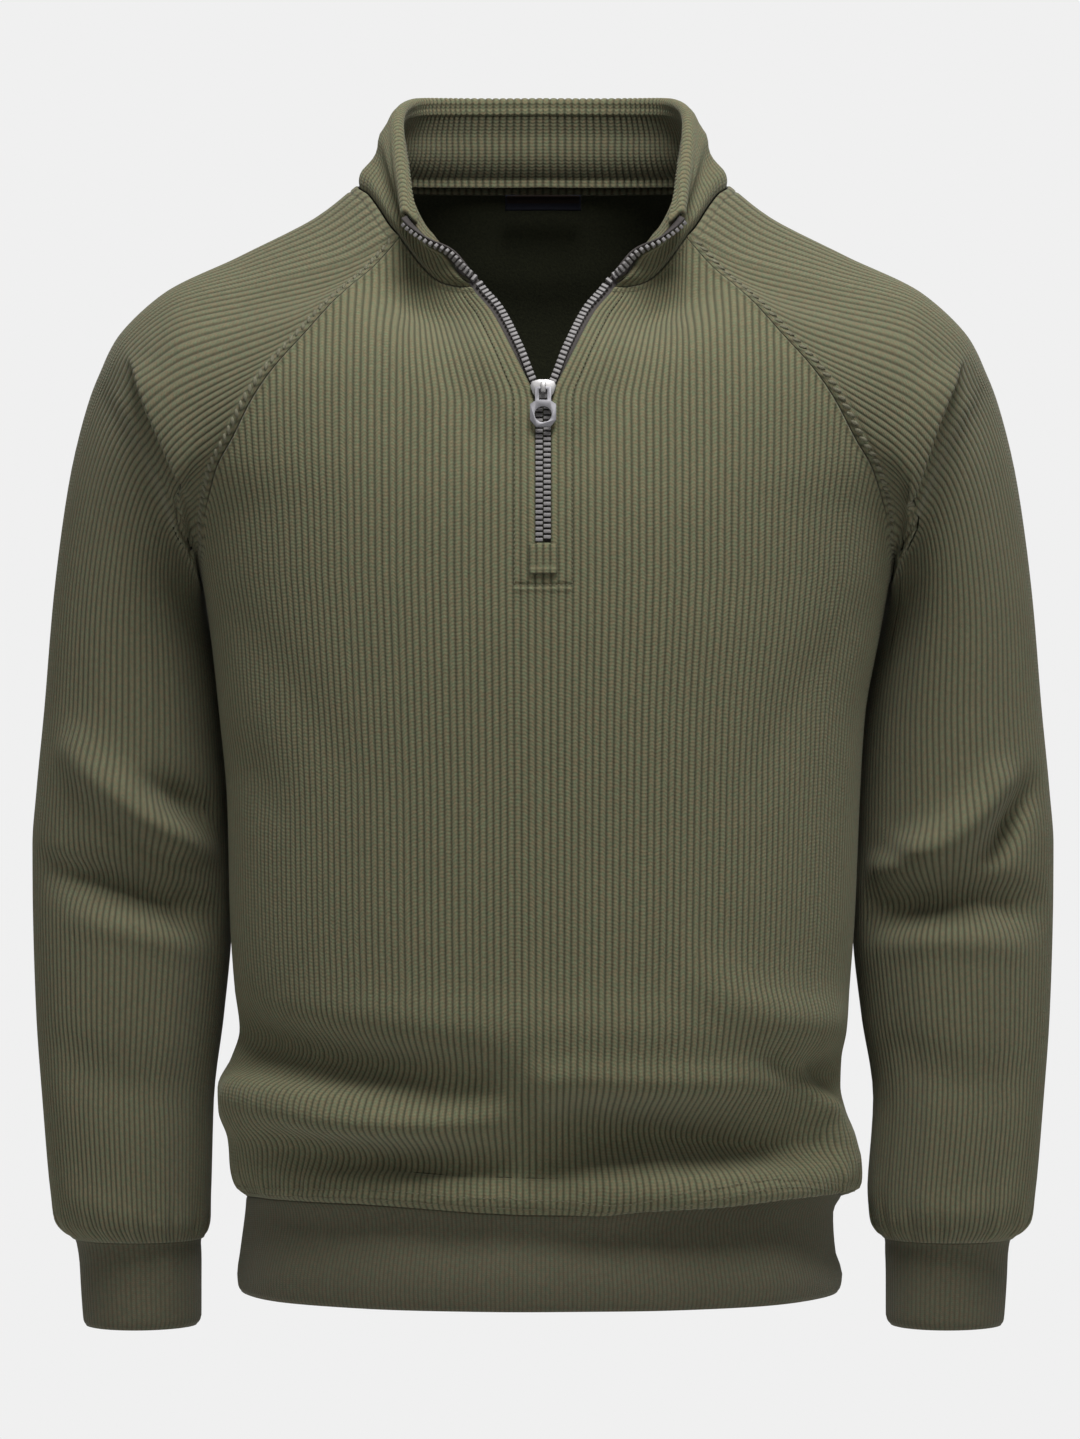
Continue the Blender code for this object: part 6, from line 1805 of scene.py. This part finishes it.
# ---------------------------------------------------------------- picture
@dataclass
class Studio:
    """Plain pale surroundings, soft lights and the photograph's camera."""

    floor_z: float = -1.05
    floor_radius: float = 1.9
    target: tuple[float, float, float] = (-0.0018, 0.0, -0.3207)
    distance: float = 3.0
    height_seen: float = 0.8634
    ground: float = 0.871
    ambient: float = 0.14

    def build(self) -> None:
        """Set everything up."""
        self._world()
        self._floor()
        for name, place, size, power in (
                ("key", (0.16, -0.95, 1.60), 0.8, 45.5), ("front", (0.3, -2.9, -0.2), 1.6, 2.5),
                ("left", (-1.9, -1.2, 0.3), 1.2, 3.6), ("right", (1.9, -1.2, 0.3), 1.2, 4.4),
                ("back", (0.5, 2.2, 1.2), 1.4, 18.0)):
            self._light(name, Vector(place), size, power)
        camera_data = bpy.data.cameras.new("camera")
        camera_data.sensor_fit = "VERTICAL"
        camera_data.angle = 2 * math.atan(self.height_seen / 2 / self.distance)
        camera = bpy.data.objects.new("camera", camera_data)
        camera.location = Vector(self.target) - Vector((0.0, self.distance, 0.0))
        camera.rotation_euler = (math.pi / 2, 0.0, 0.0)
        bpy.context.scene.collection.objects.link(camera)
        bpy.context.scene.camera = camera
        bpy.context.scene.view_settings.view_transform = "Standard"

    def _world(self) -> None:
        """Pale ground for the camera, dimmer light for the rest."""
        world = bpy.data.worlds.new("studio")
        world.use_nodes = True
        tree = world.node_tree
        back = tree.nodes["Background"]
        back.inputs["Color"].default_value = (1.0, 1.0, 1.0, 1.0)
        path = tree.nodes.new("ShaderNodeLightPath")
        level = tree.nodes.new("ShaderNodeMapRange")
        level.inputs["To Min"].default_value = self.ambient
        level.inputs["To Max"].default_value = self.ground
        tree.links.new(path.outputs["Is Camera Ray"], level.inputs["Value"])
        tree.links.new(level.outputs["Result"], back.inputs["Strength"])
        bpy.context.scene.world = world

    def _floor(self) -> None:
        """A round pale floor below the garment."""
        form = bmesh.new()
        bmesh.ops.create_circle(form, cap_ends=True, segments=96, radius=self.floor_radius)
        bmesh.ops.translate(form, verts=form.verts, vec=(0.0, 0.0, self.floor_z))
        shader = Shader("floor", Base_Color=(0.80, 0.80, 0.80), Roughness=0.9)
        floor = object_from(form, "floor", (shader.material,), smooth=False)

    def _light(self, name: str, place: Vector, size: float, power: float) -> None:
        """A soft square light aimed at the chest."""
        data = bpy.data.lights.new(name, "AREA")
        data.shape, data.size, data.energy = "SQUARE", size, power
        light = bpy.data.objects.new(name, data)
        light.location = place
        light.rotation_euler = (Vector((0.0, 0.0, -0.32)) - place).to_track_quat("-Z", "Y").to_euler()
        light.visible_camera = False
        bpy.context.scene.collection.objects.link(light)


def main() -> None:
    """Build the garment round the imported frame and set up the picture."""
    logging.basicConfig(level=logging.INFO, format="%(name)s %(message)s")
    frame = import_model()
    finishes = Finishes()
    front, back = BodyPanel(Panel.FRONT), BodyPanel(Panel.BACK)
    thread = Sewing("topstitches", finishes.thread, Sewing.bead(0.0022, 0.0006, 0.0003))
    stitches = Sewing("raglan_stitches", finishes.stitch, Sewing.bead(0.0064, 0.0025, 0.0011, 0.60))
    for panel in (front, back):
        panel.build(finishes)
        panel.sew(thread)
    for side in Side:
        Sleeve(side, front, back).build(finishes, stitches)
        Cuff(side).build(finishes)
    Waistband().build(finishes)
    collar = Collar(front, back)
    collar.build(finishes)
    Zip(front, collar).build(finishes)
    Hardware().build(frame, finishes)
    Patches().build(front, back, finishes)
    for sewn in (thread, stitches):
        enlist(sewn.build(), "ribbed_knit")
    Studio().build()


if __name__ == "__main__":
    main()
